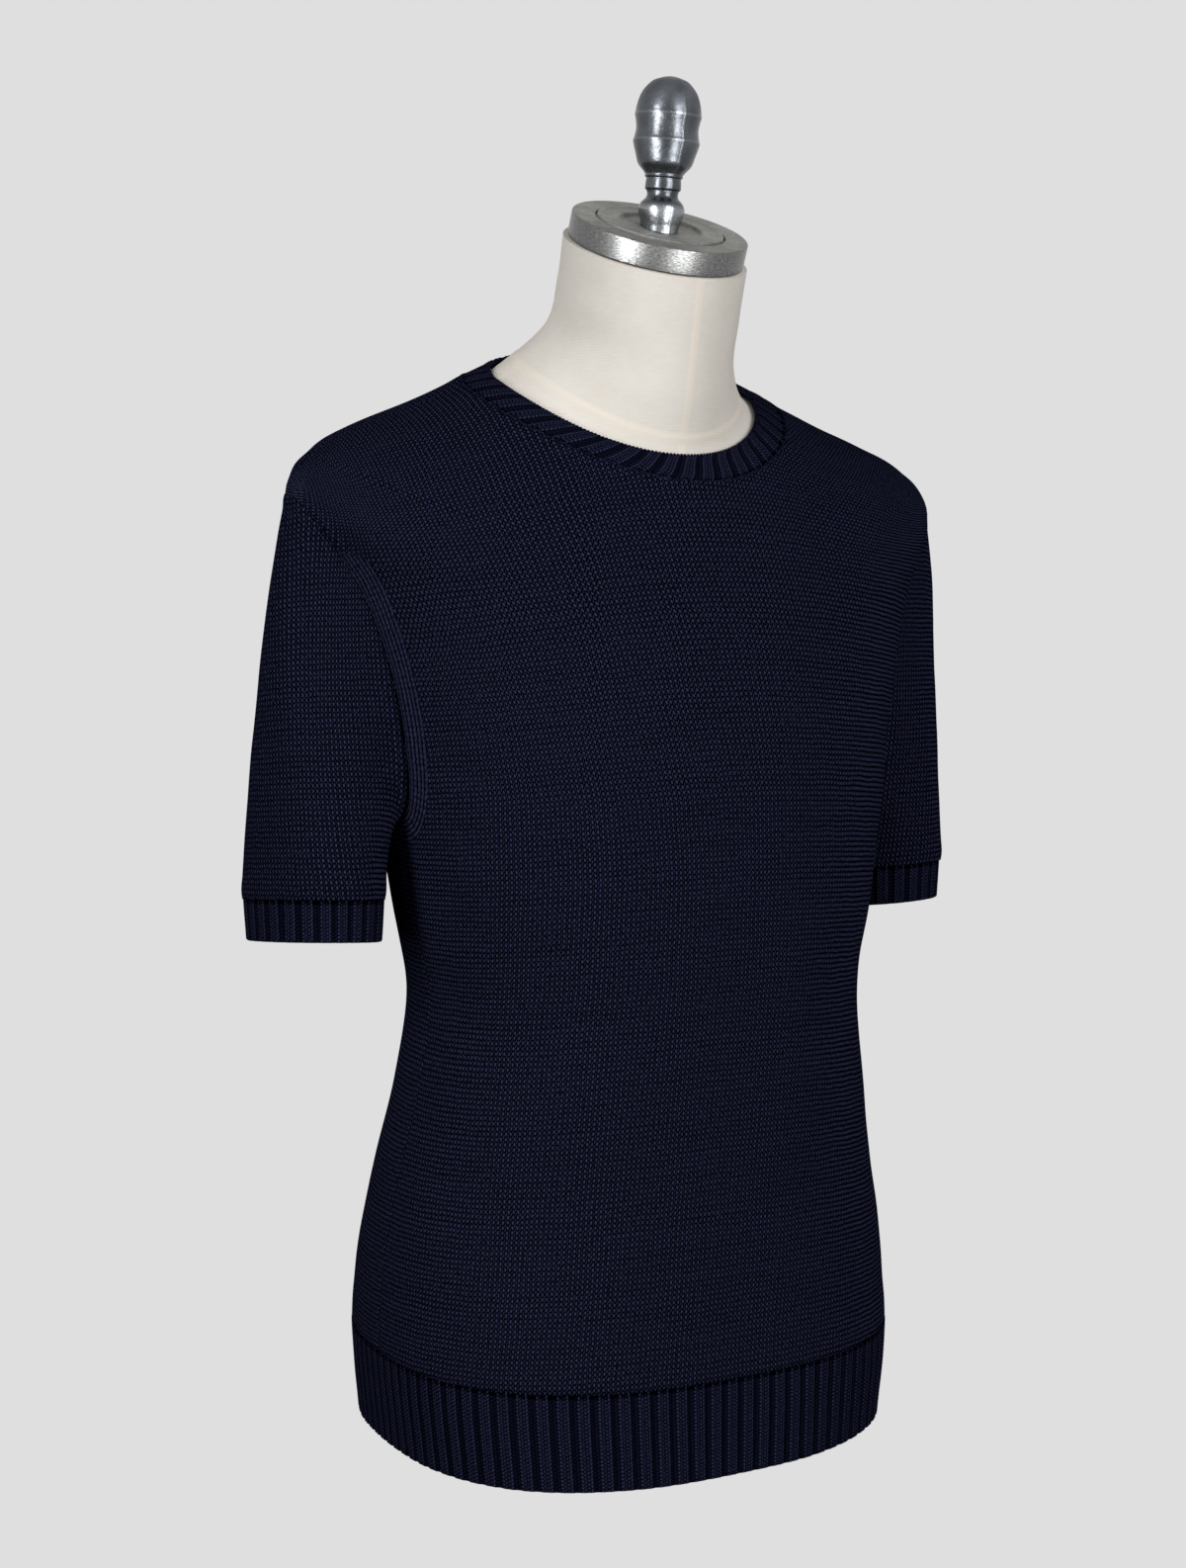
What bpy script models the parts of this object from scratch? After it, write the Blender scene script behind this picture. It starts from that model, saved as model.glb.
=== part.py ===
"""A short-sleeve crew-neck sweater in heavy cotton knit, worn by a limbless tailor's form.

Metres, +Z up. The chest faces -Y, and the form's flat underside stands on z = 0. One table of rings, BODY,
gives the form. The cloth is the same loft moved out by its room and its wall, so it follows the form all
over. Each sleeve hangs from its armhole to its cuff. Every piece of cloth is a closed wall of real thickness,
and pieces that are sewn or linked together lie SEAM apart.
"""

import math

import bmesh
import bpy
import numpy as np
from mathutils import Matrix, Vector

# Driving sizes.
CLOTH = 0.0028  # wall of the plain knit
RIB_CLOTH = 0.0036  # wall of the ribs, which are fuller than the plain knit
SEAM = 0.0003  # gap between two pieces that are joined
CUFF_RIB = 0.026  # height of each cuff rib

# The form: each ring's place at the side, the centre front and the centre back, how square it is
# (2 is an ellipse), how much thinner it is towards its sides, and the room between form and cloth.
RING_COLUMNS = ("side_x", "side_y", "side_z", "front_y", "front_z", "back_y", "back_z", "square", "pinch", "room")
BODY = {
    "hem": (0.1615, 0.000, 0.0105, -0.1325, 0.0021, 0.1325, 0.0189, 2.50, 0.00, 0.0045),
    "rib_top": (0.1675, -0.001, 0.0705, -0.1320, 0.0625, 0.1300, 0.0785, 2.50, 0.00, 0.0045),
    "hip": (0.1660, -0.003, 0.1250, -0.1300, 0.1190, 0.1240, 0.1310, 2.40, 0.00, 0.0045),
    "low_waist": (0.1570, -0.007, 0.1800, -0.1280, 0.1770, 0.1130, 0.1830, 2.35, 0.00, 0.0045),
    "waist": (0.1465, -0.014, 0.2350, -0.1290, 0.2350, 0.1010, 0.2350, 2.35, 0.00, 0.0045),
    "high_waist": (0.1405, -0.018, 0.2900, -0.1310, 0.2900, 0.0960, 0.2900, 2.30, 0.00, 0.0045),
    "under_chest": (0.1500, -0.018, 0.3450, -0.1330, 0.3420, 0.0980, 0.3450, 2.30, 0.00, 0.0045),
    "armpit": (0.1610, -0.016, 0.4000, -0.1350, 0.3930, 0.1010, 0.4000, 2.25, 0.00, 0.0040),
    "chest": (0.1700, -0.015, 0.4500, -0.1350, 0.4380, 0.1030, 0.4500, 2.20, 0.04, 0.0040),
    "arm": (0.1820, -0.015, 0.5020, -0.1315, 0.4790, 0.1020, 0.5010, 2.18, 0.10, 0.0030),
    "high_arm": (0.2005, -0.012, 0.5550, -0.1250, 0.5180, 0.0985, 0.5500, 2.12, 0.18, 0.0024),
    "tip": (0.2272, -0.007, 0.6025, -0.1175, 0.5490, 0.0930, 0.5920, 2.04, 0.26, 0.0020),
    "tip_top": (0.2124, -0.003, 0.6240, -0.1120, 0.5665, 0.0880, 0.6115, 2.02, 0.28, 0.0018),
    "ridge": (0.1878, 0.001, 0.6373, -0.1060, 0.5820, 0.0830, 0.6285, 2.00, 0.26, 0.0015),
    "shoulder": (0.1490, 0.005, 0.6525, -0.0990, 0.5970, 0.0755, 0.6465, 2.00, 0.18, 0.0012),
    "band_seam": (0.1030, 0.004, 0.6700, -0.0910, 0.6110, 0.0650, 0.6705, 2.00, 0.08, 0.0012),
    "neckline": (0.0820, 0.000, 0.6790, -0.0760, 0.6290, 0.0510, 0.6930, 2.00, 0.00, 0.0012),
    "neck_base": (0.0605, -0.021, 0.7030, -0.0840, 0.6660, 0.0290, 0.7190, 2.00, 0.00, 0.0007),
    "neck": (0.0578, -0.034, 0.7290, -0.0910, 0.7000, 0.0200, 0.7500, 2.00, 0.00, 0.0007),
    "plate": (0.0587, -0.043, 0.7560, -0.0970, 0.7330, 0.0110, 0.7790, 2.00, 0.00, 0.0007),
}
LEVEL = {name: float(index) for index, name in enumerate(BODY)}

# The armholes. An angle of 180 degrees is the wearer's right side, and 270 is the centre front.
ARMPIT = 7.2  # level of the armhole's lowest point
FRONT_SCOOP = math.radians(13.5)  # how far the armhole cuts into the front, and into the back
BACK_SCOOP = math.radians(15)
SCOOP_FULLNESS = 0.45  # below 1, the armhole is rounder at its ends
ARMHOLE_FACES = 24
LONGEST_MITRE = 1.6  # the cloth's wall at the fold under the arm, in thicknesses

# The sleeves: the cuff's lower rim, and how the cloth springs out of the armhole and hangs to the cuff.
CUFF_X, CUFF_Y, CUFF_Z = 0.2105, 0.0148, 0.3353
CUFF_WIDTH, CUFF_DEPTH, CUFF_SQUARE = 0.0355, 0.0582, 2.2  # half sizes
CUFF_FLARE = 0.0015  # the cuff is wider at its top
SLEEVE_FULLNESS = 0.0012  # the plain knit blouses over the cuff
SLEEVE_SPRING, SLEEVE_HANG = 0.55, 0.75  # pull of the armhole's and the cuff's direction, of the sleeve's length
SPRING_TOP, SPRING_UNDER, SPRING_BLEND = 2.3, 0.3, 1.5  # fall for each unit outwards, at the shoulder and the armpit
SLEEVE_ROWS = 9
SLEEVE_ROWS_CLOSER = 1.35  # above 1, the rows are closer together near the armhole
ARMHOLE_SEAM = 0.0005  # gap between a sleeve and its armhole

# The body's faces.
AROUND_HALF = 20  # across the front, and across the back
SIDE_ROWS = 7  # from the rib to the armpit
SHOULDER_ROWS = 8  # from the armhole to the neckband

# The form.
FORM_AROUND = 2 * AROUND_HALF  # the cloth's own columns, so that the two never cross
FORM_FINE_LEVEL = 10.0  # above this the rings come twice as close
FORM_BOTTOM_LEVEL = 0.55  # where the loft starts, above the rounded lower edge
BASE_ROUNDING = 0.022  # radius of its lower edge
BASE_STEPS = 3

# Neck cap and finial, both turned. Profiles run from the axis round the outside: radius, height.
CAP_RADIUS = 0.056
CAP_HEIGHT = 0.015
CAP_EDGE = 0.0012
CAP_STEP_RADIUS, CAP_STEP = 0.0400, 0.0010
CAP_RECESS_RADIUS, CAP_RECESS = 0.0260, 0.0028
FINIAL_TILT = math.radians(5.5)  # it stands nearly upright on the leaning cap
FINIAL = {
    "foot": (0.0128, 0.0000),
    "foot_side": (0.0134, 0.0110),
    "foot_shoulder": (0.0142, 0.0160),
    "foot_top": (0.0132, 0.0185),
    "waist": (0.0096, 0.0230),
    "bead_under": (0.0100, 0.0262),
    "bead": (0.0108, 0.0287),
    "bead_groove": (0.0100, 0.0305),
    "collar": (0.0114, 0.0330),
    "collar_groove": (0.0111, 0.0352),
    "taper": (0.0132, 0.0390),
    "body_low": (0.0170, 0.0450),
    "body": (0.0196, 0.0510),
    "lower_ridge": (0.0209, 0.0580),
    "groove": (0.0193, 0.0650),
    "upper_ridge": (0.0209, 0.0718),
    "dome": (0.0203, 0.0790),
    "dome_shoulder": (0.0188, 0.0860),
    "dome_top": (0.0148, 0.0930),
    "crown": (0.0080, 0.0966),
}
FINIAL_HEIGHT = 0.0976
TURNED_AROUND = 32

FINISHES = {  # base colour, roughness, metallic
    "knit": ((0.010, 0.012, 0.030), 0.85, 0.0),
    "rib": ((0.008, 0.010, 0.026), 0.85, 0.0),
    "canvas": ((0.74, 0.71, 0.66), 0.80, 0.0),
    "cast_aluminium": ((0.36, 0.37, 0.38), 0.45, 1.0),
    "polished_aluminium": ((0.48, 0.49, 0.50), 0.28, 1.0),
}


def interpolated(level):
    """The ring table's columns at any level, on a smooth curve through the rows."""
    rows = np.array(list(BODY.values()))
    level = np.clip(np.asarray(level, float), 0, len(rows) - 1)
    start = np.minimum(level.astype(int), len(rows) - 2)
    part = (level - start)[..., None]
    slopes = np.gradient(rows, axis=0)
    a, b = rows[start], rows[start + 1]
    slope_a, slope_b = slopes[start], slopes[start + 1]
    curve = (
        a * (1 + 2 * part) * (1 - part) ** 2
        + b * (3 - 2 * part) * part**2
        + slope_a * part * (1 - part) ** 2
        - slope_b * (1 - part) * part**2
    )
    return dict(zip(RING_COLUMNS, np.moveaxis(curve, -1, 0)))


def form_point(angle, level):
    angle, level = np.broadcast_arrays(np.asarray(angle, float), np.asarray(level, float))
    ring = interpolated(level)
    across, along = np.cos(angle), np.sin(angle)
    square = ring["square"]
    grow = (np.abs(across) ** square + np.abs(along) ** square) ** (-1 / square)
    across, along = grow * across, grow * along
    depth = np.where(along < 0, ring["side_y"] - ring["front_y"], ring["back_y"] - ring["side_y"])
    lean = (ring["back_z"] - ring["front_z"]) / 2
    bow = (ring["back_z"] + ring["front_z"]) / 2 - ring["side_z"]
    return np.stack(
        (
            ring["side_x"] * across,
            ring["side_y"] + depth * along * (1 - ring["pinch"] * np.cos(angle) ** 2),
            ring["side_z"] + lean * along + bow * along**2,
        ),
        axis=-1,
    )


def unit(vectors):
    return vectors / np.linalg.norm(vectors, axis=-1, keepdims=True)


def form_normal(angle, level):
    """Pointing out of the form."""
    step = 0.02
    top = len(BODY) - 1
    low, high = np.clip(level - step, 0, top), np.clip(level + step, 0, top)
    around = form_point(angle + step, level) - form_point(angle - step, level)
    upward = form_point(angle, high) - form_point(angle, low)
    return unit(np.cross(around, upward))


def cloth_point(angle, level, wall, outside=True):
    """On the cloth over the form: on its outer or inner side."""
    angle, level = np.broadcast_arrays(np.asarray(angle, float), np.asarray(level, float))
    out = interpolated(level)["room"] + (wall if outside else 0)
    return form_point(angle, level) + form_normal(angle, level) * out[..., None]


def level_step(angle, level, distance):
    """How far a level changes over this distance up the cloth, square to the ring."""
    step = 0.02
    run = cloth_point(angle, level + step, CLOTH) - cloth_point(angle, level, CLOTH)
    along = unit(cloth_point(angle + step, level, CLOTH) - cloth_point(angle - step, level, CLOTH))
    run -= along * np.sum(run * along, axis=-1, keepdims=True)
    return distance * step / np.linalg.norm(run, axis=-1)


def edge_angles(level, scoop_front, scoop_back):
    """The angles at which the front and the back panel end on the wearer's right, half a seam apart."""
    half_seam = SEAM / 2 / side_speed(level)
    return math.pi + half_seam + scoop_front, math.pi - half_seam - scoop_back


def side_speed(level):
    """Metres of cloth for each radian, at the side."""
    step = 0.01
    ends = cloth_point(np.array((math.pi - step, math.pi + step)), level, CLOTH)
    return float(np.linalg.norm(ends[1] - ends[0])) / (2 * step)


def armhole_level(turn):
    return ARMPIT + (LEVEL["tip"] - ARMPIT) * (1 + np.cos(turn)) / 2


def armhole(turn):
    """The armhole on the wearer's right, on the cloth's outer side, and the same edge through the wall.

    A turn of 0 is the shoulder, 90 degrees the front and 180 the armpit. The wall's edge points at the
    armhole's centre, so that the panels and the sleeve meet in one mitre.
    """
    turn = np.asarray(turn, float)
    level = armhole_level(turn)
    scoop = np.abs(np.sin(turn)) ** SCOOP_FULLNESS
    angle = math.pi + np.where(np.sin(turn) > 0, FRONT_SCOOP, -BACK_SCOOP) * scoop
    outer = cloth_point(angle, level, CLOTH)
    tip, armpit = cloth_point(math.pi, np.array((LEVEL["tip"], ARMPIT)), CLOTH)
    centre = (tip + armpit) / 2
    away = armhole_out()
    inward = centre - outer
    inward = unit(inward - (inward @ away)[..., None] * away)
    through = -np.sum(inward * form_normal(angle, level), axis=-1)
    wall = np.minimum(CLOTH / np.maximum(through, 1e-6), LONGEST_MITRE * CLOTH)
    wall = np.where(through > 1 / LONGEST_MITRE, wall, LONGEST_MITRE * CLOTH)
    return outer, outer + inward * wall[..., None]


def armhole_out():
    """The direction in which the sleeve leaves the right armhole."""
    tip, armpit = cloth_point(math.pi, np.array((LEVEL["tip"], ARMPIT)), CLOTH)
    rise = unit(tip - armpit)
    return unit(np.cross(rise, np.array((0.0, 1.0, 0.0))))


def panel_grids(front):
    """The outer and the inner points of the front or the back panel."""
    turns = np.linspace(math.pi, 0, ARMHOLE_FACES // 2 + 1)
    below = np.linspace(LEVEL["rib_top"], ARMPIT, SIDE_ROWS + 1)[:-1]
    above = np.linspace(LEVEL["tip"], LEVEL["band_seam"], SHOULDER_ROWS + 1)[1:]
    rows = [(level, None) for level in below]
    rows += [(float(armhole_level(turn)), turn) for turn in turns]
    rows += [(level, None) for level in above]
    outer, inner = [], []
    for level, turn in rows:
        scoop = 0.0 if turn is None else abs(math.sin(turn)) ** SCOOP_FULLNESS
        front_edge, back_edge = edge_angles(level, FRONT_SCOOP * scoop, BACK_SCOOP * scoop)
        start = front_edge if front else back_edge
        angles = np.linspace(start, 3 * math.pi - start if front else math.pi - start, AROUND_HALF + 1)
        levels = np.full_like(angles, level)
        if level == LEVEL["rib_top"]:
            levels += level_step(angles, level, SEAM)
        if level == LEVEL["band_seam"]:
            levels -= level_step(angles, level, SEAM)
        outside = cloth_point(angles, levels, CLOTH)
        inside = cloth_point(angles, levels, CLOTH, outside=False)
        if turn is not None and 0 < turn < math.pi:
            edge = armhole(turn if front else -turn)
            mitre = edge[1] - edge[0]
            inside[0] = outside[0] + mitre
            inside[-1] = outside[-1] + mitre * (-1, 1, 1)
        outer.append(outside)
        inner.append(inside)
    if not front:  # round the body the same way as the front and the neckband
        outer, inner = np.array(outer)[:, ::-1], np.array(inner)[:, ::-1]
    return np.array(outer), np.array(inner)


def sleeve_grids():
    """The outer and the inner points of the right sleeve, from the armhole down, each row a closed ring."""
    turns = np.linspace(0, 2 * math.pi, ARMHOLE_FACES, endpoint=False)
    away = armhole_out()
    edge_outer, edge_inner = armhole(turns)
    start = edge_outer + away * ARMHOLE_SEAM
    drop = SPRING_UNDER + (SPRING_TOP - SPRING_UNDER) * ((1 + np.cos(turns)) / 2) ** SPRING_BLEND
    spring = unit(away + drop[:, None] * np.array((0.0, 0.0, -1.0)))
    end = cuff_ring(turns, CUFF_RIB + SEAM, CUFF_FLARE + SLEEVE_FULLNESS)
    length = np.linalg.norm(end - start, axis=-1, keepdims=True)
    rows = []
    for part in np.linspace(0, 1, SLEEVE_ROWS + 1) ** SLEEVE_ROWS_CLOSER:
        rows.append(
            start * (1 + 2 * part) * (1 - part) ** 2
            + end * (3 - 2 * part) * part**2
            + spring * length * SLEEVE_SPRING * part * (1 - part) ** 2
            - np.array((0.0, 0.0, -1.0)) * length * SLEEVE_HANG * (1 - part) * part**2
        )
    outer = np.array(rows)
    around = np.roll(outer, -1, axis=1) - np.roll(outer, 1, axis=1)
    down = np.gradient(outer, axis=0)
    inner = outer - unit(np.cross(down, around)) * CLOTH
    inner[0] = edge_inner + away * ARMHOLE_SEAM
    inner[-1] = cuff_ring(turns, CUFF_RIB + SEAM, CUFF_FLARE + SLEEVE_FULLNESS - CLOTH)
    return outer, inner


def cuff_ring(turns, height, grow=0.0):
    """A ring of the right cuff, in the sleeve's turns: 0 faces away from the body."""
    across, along = np.cos(turns), np.sin(turns)
    scale = (np.abs(across) ** CUFF_SQUARE + np.abs(along) ** CUFF_SQUARE) ** (-1 / CUFF_SQUARE)
    return np.stack(
        (
            -CUFF_X - (CUFF_WIDTH + grow) * scale * across,
            CUFF_Y - (CUFF_DEPTH + grow) * scale * along,
            np.full_like(turns, CUFF_Z + height),
        ),
        axis=-1,
    )


def rib_grids(front):
    """The hem rib, front or back."""
    levels = np.linspace(LEVEL["hem"], LEVEL["rib_top"], 3)
    outer, inner = [], []
    for level in levels:
        front_edge, back_edge = edge_angles(level, 0.0, 0.0)
        start = front_edge if front else back_edge
        angles = np.linspace(start, 3 * math.pi - start if front else math.pi - start, AROUND_HALF + 1)
        outer.append(cloth_point(angles, level, RIB_CLOTH))
        inner.append(cloth_point(angles, level, RIB_CLOTH, outside=False))
    return np.array(outer), np.array(inner)


def neckband_grids():
    levels = np.linspace(LEVEL["band_seam"], LEVEL["neckline"], 3)
    angles = np.linspace(0, 2 * math.pi, FORM_AROUND, endpoint=False)
    outer = [cloth_point(angles, level, RIB_CLOTH) for level in levels]
    inner = [cloth_point(angles, level, RIB_CLOTH, outside=False) for level in levels]
    return np.array(outer), np.array(inner)


def cuff_grids():
    turns = np.linspace(0, 2 * math.pi, ARMHOLE_FACES, endpoint=False)
    heights = np.linspace(CUFF_RIB, 0, 3)
    flares = CUFF_FLARE * heights / CUFF_RIB
    outer = [cuff_ring(turns, height, flare) for height, flare in zip(heights, flares)]
    inner = [cuff_ring(turns, height, flare - RIB_CLOTH) for height, flare in zip(heights, flares)]
    return np.array(outer), np.array(inner)


# Meshes.


def new_object(name, mesh, finish):
    made = bpy.data.objects.new(name, mesh)
    bpy.context.scene.collection.objects.link(made)
    mesh.materials.append(material(name + "_" + finish, FINISHES[finish]))
    mesh.shade_smooth()
    mesh.set_sharp_from_angle(angle=math.radians(40))
    return made


def material(name, finish):
    colour, roughness, metallic = finish
    made = bpy.data.materials.new(name)
    made.use_nodes = True
    shader = made.node_tree.nodes["Principled BSDF"]
    shader.inputs["Base Color"].default_value = (*colour, 1)
    shader.inputs["Roughness"].default_value = roughness
    shader.inputs["Metallic"].default_value = metallic
    return made


def cloth_wall(name, grids, finish, closed=False, mirrored=False):
    """A wall between two grids of points. A closed one is a tube, with rims at its two ends only.

    Rims are split into triangles the same way on every piece, so that two rims that meet stay apart.
    """
    outer, inner = (grid * (-1, 1, 1) if mirrored else grid for grid in grids)
    form = bmesh.new()
    rows, columns = outer.shape[:2]
    outside = [[form.verts.new(point) for point in row] for row in outer]
    inside = [[form.verts.new(point) for point in row] for row in inner]
    spans = range(columns) if closed else range(columns - 1)
    for row in range(rows - 1):
        for column in spans:
            beside = (column + 1) % columns
            for side in (outside, inside):
                form.faces.new((side[row][column], side[row][beside], side[row + 1][beside], side[row + 1][column]))
    for column in spans:
        beside = (column + 1) % columns
        for row in (0, rows - 1):
            form.faces.new((outside[row][column], outside[row][beside], inside[row][beside]))
            form.faces.new((outside[row][column], inside[row][beside], inside[row][column]))
    if not closed:
        for row in range(rows - 1):
            for column in (0, columns - 1):
                ends = (outside[row][column], outside[row + 1][column])
                form.faces.new((*ends, inside[row + 1][column], inside[row][column]))
    bmesh.ops.recalc_face_normals(form, faces=form.faces)
    mesh = bpy.data.meshes.new(name)
    form.to_mesh(mesh)
    form.free()
    return new_object(name, mesh, finish)


def torso():
    """The form from its rounded lower edge to the plate on its neck."""
    angles = np.linspace(0, 2 * math.pi, FORM_AROUND, endpoint=False)
    bottom = form_point(angles, 0.0)
    inward = form_normal(angles, np.full_like(angles, 0.05)) * (-1, -1, 0)
    rings = []
    for step in range(BASE_STEPS + 1):
        turn = math.pi / 2 * step / BASE_STEPS
        ring = bottom + unit(inward) * BASE_ROUNDING * (1 - math.sin(turn))
        ring[:, 2] = BASE_ROUNDING * (1 - math.cos(turn))
        rings.append(ring)
    low = np.arange(1.0, FORM_FINE_LEVEL, 1.0)
    high = np.arange(FORM_FINE_LEVEL, LEVEL["plate"] + 0.25, 0.5)
    for level in (FORM_BOTTOM_LEVEL, *low, *high):
        rings.append(form_point(angles, level))
    form = bmesh.new()
    loops = [[form.verts.new(point) for point in ring] for ring in rings]
    for low, high in zip(loops, loops[1:]):
        for index in range(FORM_AROUND):
            beside = (index + 1) % FORM_AROUND
            form.faces.new((low[index], low[beside], high[beside], high[index]))
    form.faces.new(loops[0][::-1])
    form.faces.new(loops[-1])
    bmesh.ops.recalc_face_normals(form, faces=form.faces)
    mesh = bpy.data.meshes.new("form_torso")
    form.to_mesh(mesh)
    form.free()
    return new_object("form_torso", mesh, "canvas")


def turned(profile, around=TURNED_AROUND):
    """A closed bmesh, spun from a profile that runs from the axis round the outside to the axis again."""
    form = bmesh.new()
    verts = [form.verts.new((radius, 0, height)) for radius, height in profile]
    edges = [form.edges.new(pair) for pair in zip(verts, verts[1:])]
    bmesh.ops.spin(
        form, geom=verts + edges, cent=(0, 0, 0), axis=(0, 0, 1), steps=around, angle=2 * math.pi, use_merge=True
    )
    bmesh.ops.remove_doubles(form, verts=form.verts, dist=1e-6)
    bmesh.ops.recalc_face_normals(form, faces=form.faces)
    return form


def plate_frame():
    """The middle of the neck's top face and the turn that lays it flat, from the ring table."""
    ring = dict(zip(RING_COLUMNS, BODY["plate"]))
    tilt = math.atan2(ring["back_z"] - ring["front_z"], ring["back_y"] - ring["front_y"])
    centre = Vector((0, (ring["front_y"] + ring["back_y"]) / 2, (ring["front_z"] + ring["back_z"]) / 2))
    return Matrix.Translation(centre) @ Matrix.Rotation(tilt, 4, "X")


def neck_cap():
    """The metal disc on the neck: a plain rim, a step and a recess in its top for the finial's foot."""
    edge = CAP_RADIUS - CAP_EDGE
    step, recess = CAP_HEIGHT - CAP_STEP, CAP_HEIGHT - CAP_RECESS
    profile = (
        (0, 0),
        (edge, 0),
        (CAP_RADIUS, CAP_EDGE),
        (CAP_RADIUS, CAP_HEIGHT - CAP_EDGE),
        (edge, CAP_HEIGHT),
        (CAP_STEP_RADIUS + CAP_STEP, CAP_HEIGHT),
        (CAP_STEP_RADIUS, step),
        (CAP_RECESS_RADIUS + CAP_STEP, step),
        (CAP_RECESS_RADIUS, recess),
        (0, recess),
    )
    form = turned(profile)
    form.transform(plate_frame() @ Matrix.Translation((0, 0, SEAM)))
    mesh = bpy.data.meshes.new("neck_cap")
    form.to_mesh(mesh)
    form.free()
    return new_object("neck_cap", mesh, "cast_aluminium")


def finial():
    """The turned grip on the cap. Its foot is cut to the cap's slope, so it seats all round."""
    floor = plate_frame() @ Matrix.Translation((0, 0, SEAM + CAP_HEIGHT - CAP_RECESS + SEAM))
    origin, normal = floor @ Vector((0, 0, 0)), (floor.to_3x3() @ Vector((0, 0, 1))).normalized()
    profile = [(0, 0), *FINIAL.values(), (0, FINIAL_HEIGHT)]
    form = turned(profile)
    upright = Matrix.Translation(origin) @ Matrix.Rotation(FINIAL_TILT, 4, "X")
    axis = (upright.to_3x3() @ Vector((0, 0, 1))).normalized()
    feet = [vert for vert in form.verts if vert.co.z < 1e-6]
    form.transform(upright)
    for vert in feet:
        vert.co += axis * ((origin - vert.co).dot(normal) / axis.dot(normal))
    mesh = bpy.data.meshes.new("finial")
    form.to_mesh(mesh)
    form.free()
    return new_object("finial", mesh, "polished_aluminium")


def main():
    for old in list(bpy.data.objects):
        bpy.data.objects.remove(old, do_unlink=True)
    torso()
    neck_cap()
    finial()
    cloth_wall("front", panel_grids(front=True), "knit")
    cloth_wall("back", panel_grids(front=False), "knit")
    cloth_wall("hem_rib_front", rib_grids(front=True), "rib")
    cloth_wall("hem_rib_back", rib_grids(front=False), "rib")
    cloth_wall("neckband", neckband_grids(), "rib", closed=True)
    for side, mirrored in (("right", False), ("left", True)):
        cloth_wall("sleeve_" + side, sleeve_grids(), "knit", closed=True, mirrored=mirrored)
        cloth_wall("cuff_" + side, cuff_grids(), "rib", closed=True, mirrored=mirrored)


if __name__ == "__main__":
    main()
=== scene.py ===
"""A short-sleeve crew-neck sweater in heavy cotton knit, on a limbless tailor's form with a metal neck cap.

Metres, +Z up, the chest faces -Y. The cloth is the form's own loft, moved out and pressed into soft creases.
"""

import math
from functools import partial

import bpy
import numpy as np
from mathutils import Euler, Matrix, Vector


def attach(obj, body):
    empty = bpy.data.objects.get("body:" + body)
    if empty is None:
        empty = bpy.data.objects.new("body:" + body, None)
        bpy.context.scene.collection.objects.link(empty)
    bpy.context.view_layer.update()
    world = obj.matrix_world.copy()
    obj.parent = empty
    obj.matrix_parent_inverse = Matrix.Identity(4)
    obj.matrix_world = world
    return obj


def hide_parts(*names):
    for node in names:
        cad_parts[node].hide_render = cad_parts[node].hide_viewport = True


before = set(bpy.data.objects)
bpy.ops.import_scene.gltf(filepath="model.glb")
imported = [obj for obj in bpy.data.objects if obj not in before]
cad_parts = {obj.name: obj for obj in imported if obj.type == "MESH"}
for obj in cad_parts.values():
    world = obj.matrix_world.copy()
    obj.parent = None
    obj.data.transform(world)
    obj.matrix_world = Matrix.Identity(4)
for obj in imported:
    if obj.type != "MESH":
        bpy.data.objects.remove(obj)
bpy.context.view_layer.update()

# The camera.

CAMERA_PLACE = (-0.8423, -1.4332, 0.5449)
CAMERA_TURN = (85.67, 0.0, -29.84)  # degrees
CAMERA_LENS = 58.91  # millimetres, on a 36 mm sensor

camera = bpy.data.objects.new("camera", bpy.data.cameras.new("camera"))
camera.data.lens = CAMERA_LENS
camera.data.sensor_width = 36
camera.data.clip_start = 0.05
camera.location = CAMERA_PLACE
camera.rotation_euler = Euler([math.radians(turn) for turn in CAMERA_TURN])
bpy.context.scene.collection.objects.link(camera)
bpy.context.scene.camera = camera
bpy.context.scene.view_settings.view_transform = "Standard"

# The knit. A wale is a column of stitches and a course is a row.

WALE = 0.00295
COURSE = 0.0032
RIB_COURSE = 0.0023
RIB_WALES = 3.0  # wales to a rib: two raised, and one in the furrow
CLOTH = 0.0028
RIB_CLOTH = 0.0036
SEAM = 0.0003
CUFF_RIB = 0.026
RIB_DEPTH = 0.0017
HEM_RIBS = 45  # front, and as many behind
CUFF_RIBS = 24
NECK_RIBS = 44
HEM_RIB = 0.060
NECK_RIB = 0.026
LEFT_RISE, RIGHT_RISE = 0.4, 1.6  # courses that a stitch's left and right legs rise for each wale across
LEG_SHIFT = 0.2  # how many courses lower the left leg lies
RIB_RIDGE = 0.75  # the part of the rib's profile that lies on the wall itself
RIB_PROFILE = (
    (0.00, 0.62), (0.07, 0.92), (0.18, 1.00), (0.335, 0.80), (0.49, 1.00),
    (0.60, 0.92), (0.70, 0.50), (0.78, 0.00), (0.86, 0.00), (1.00, 0.62),
)

# The form's rings, as in the solids.

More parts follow.
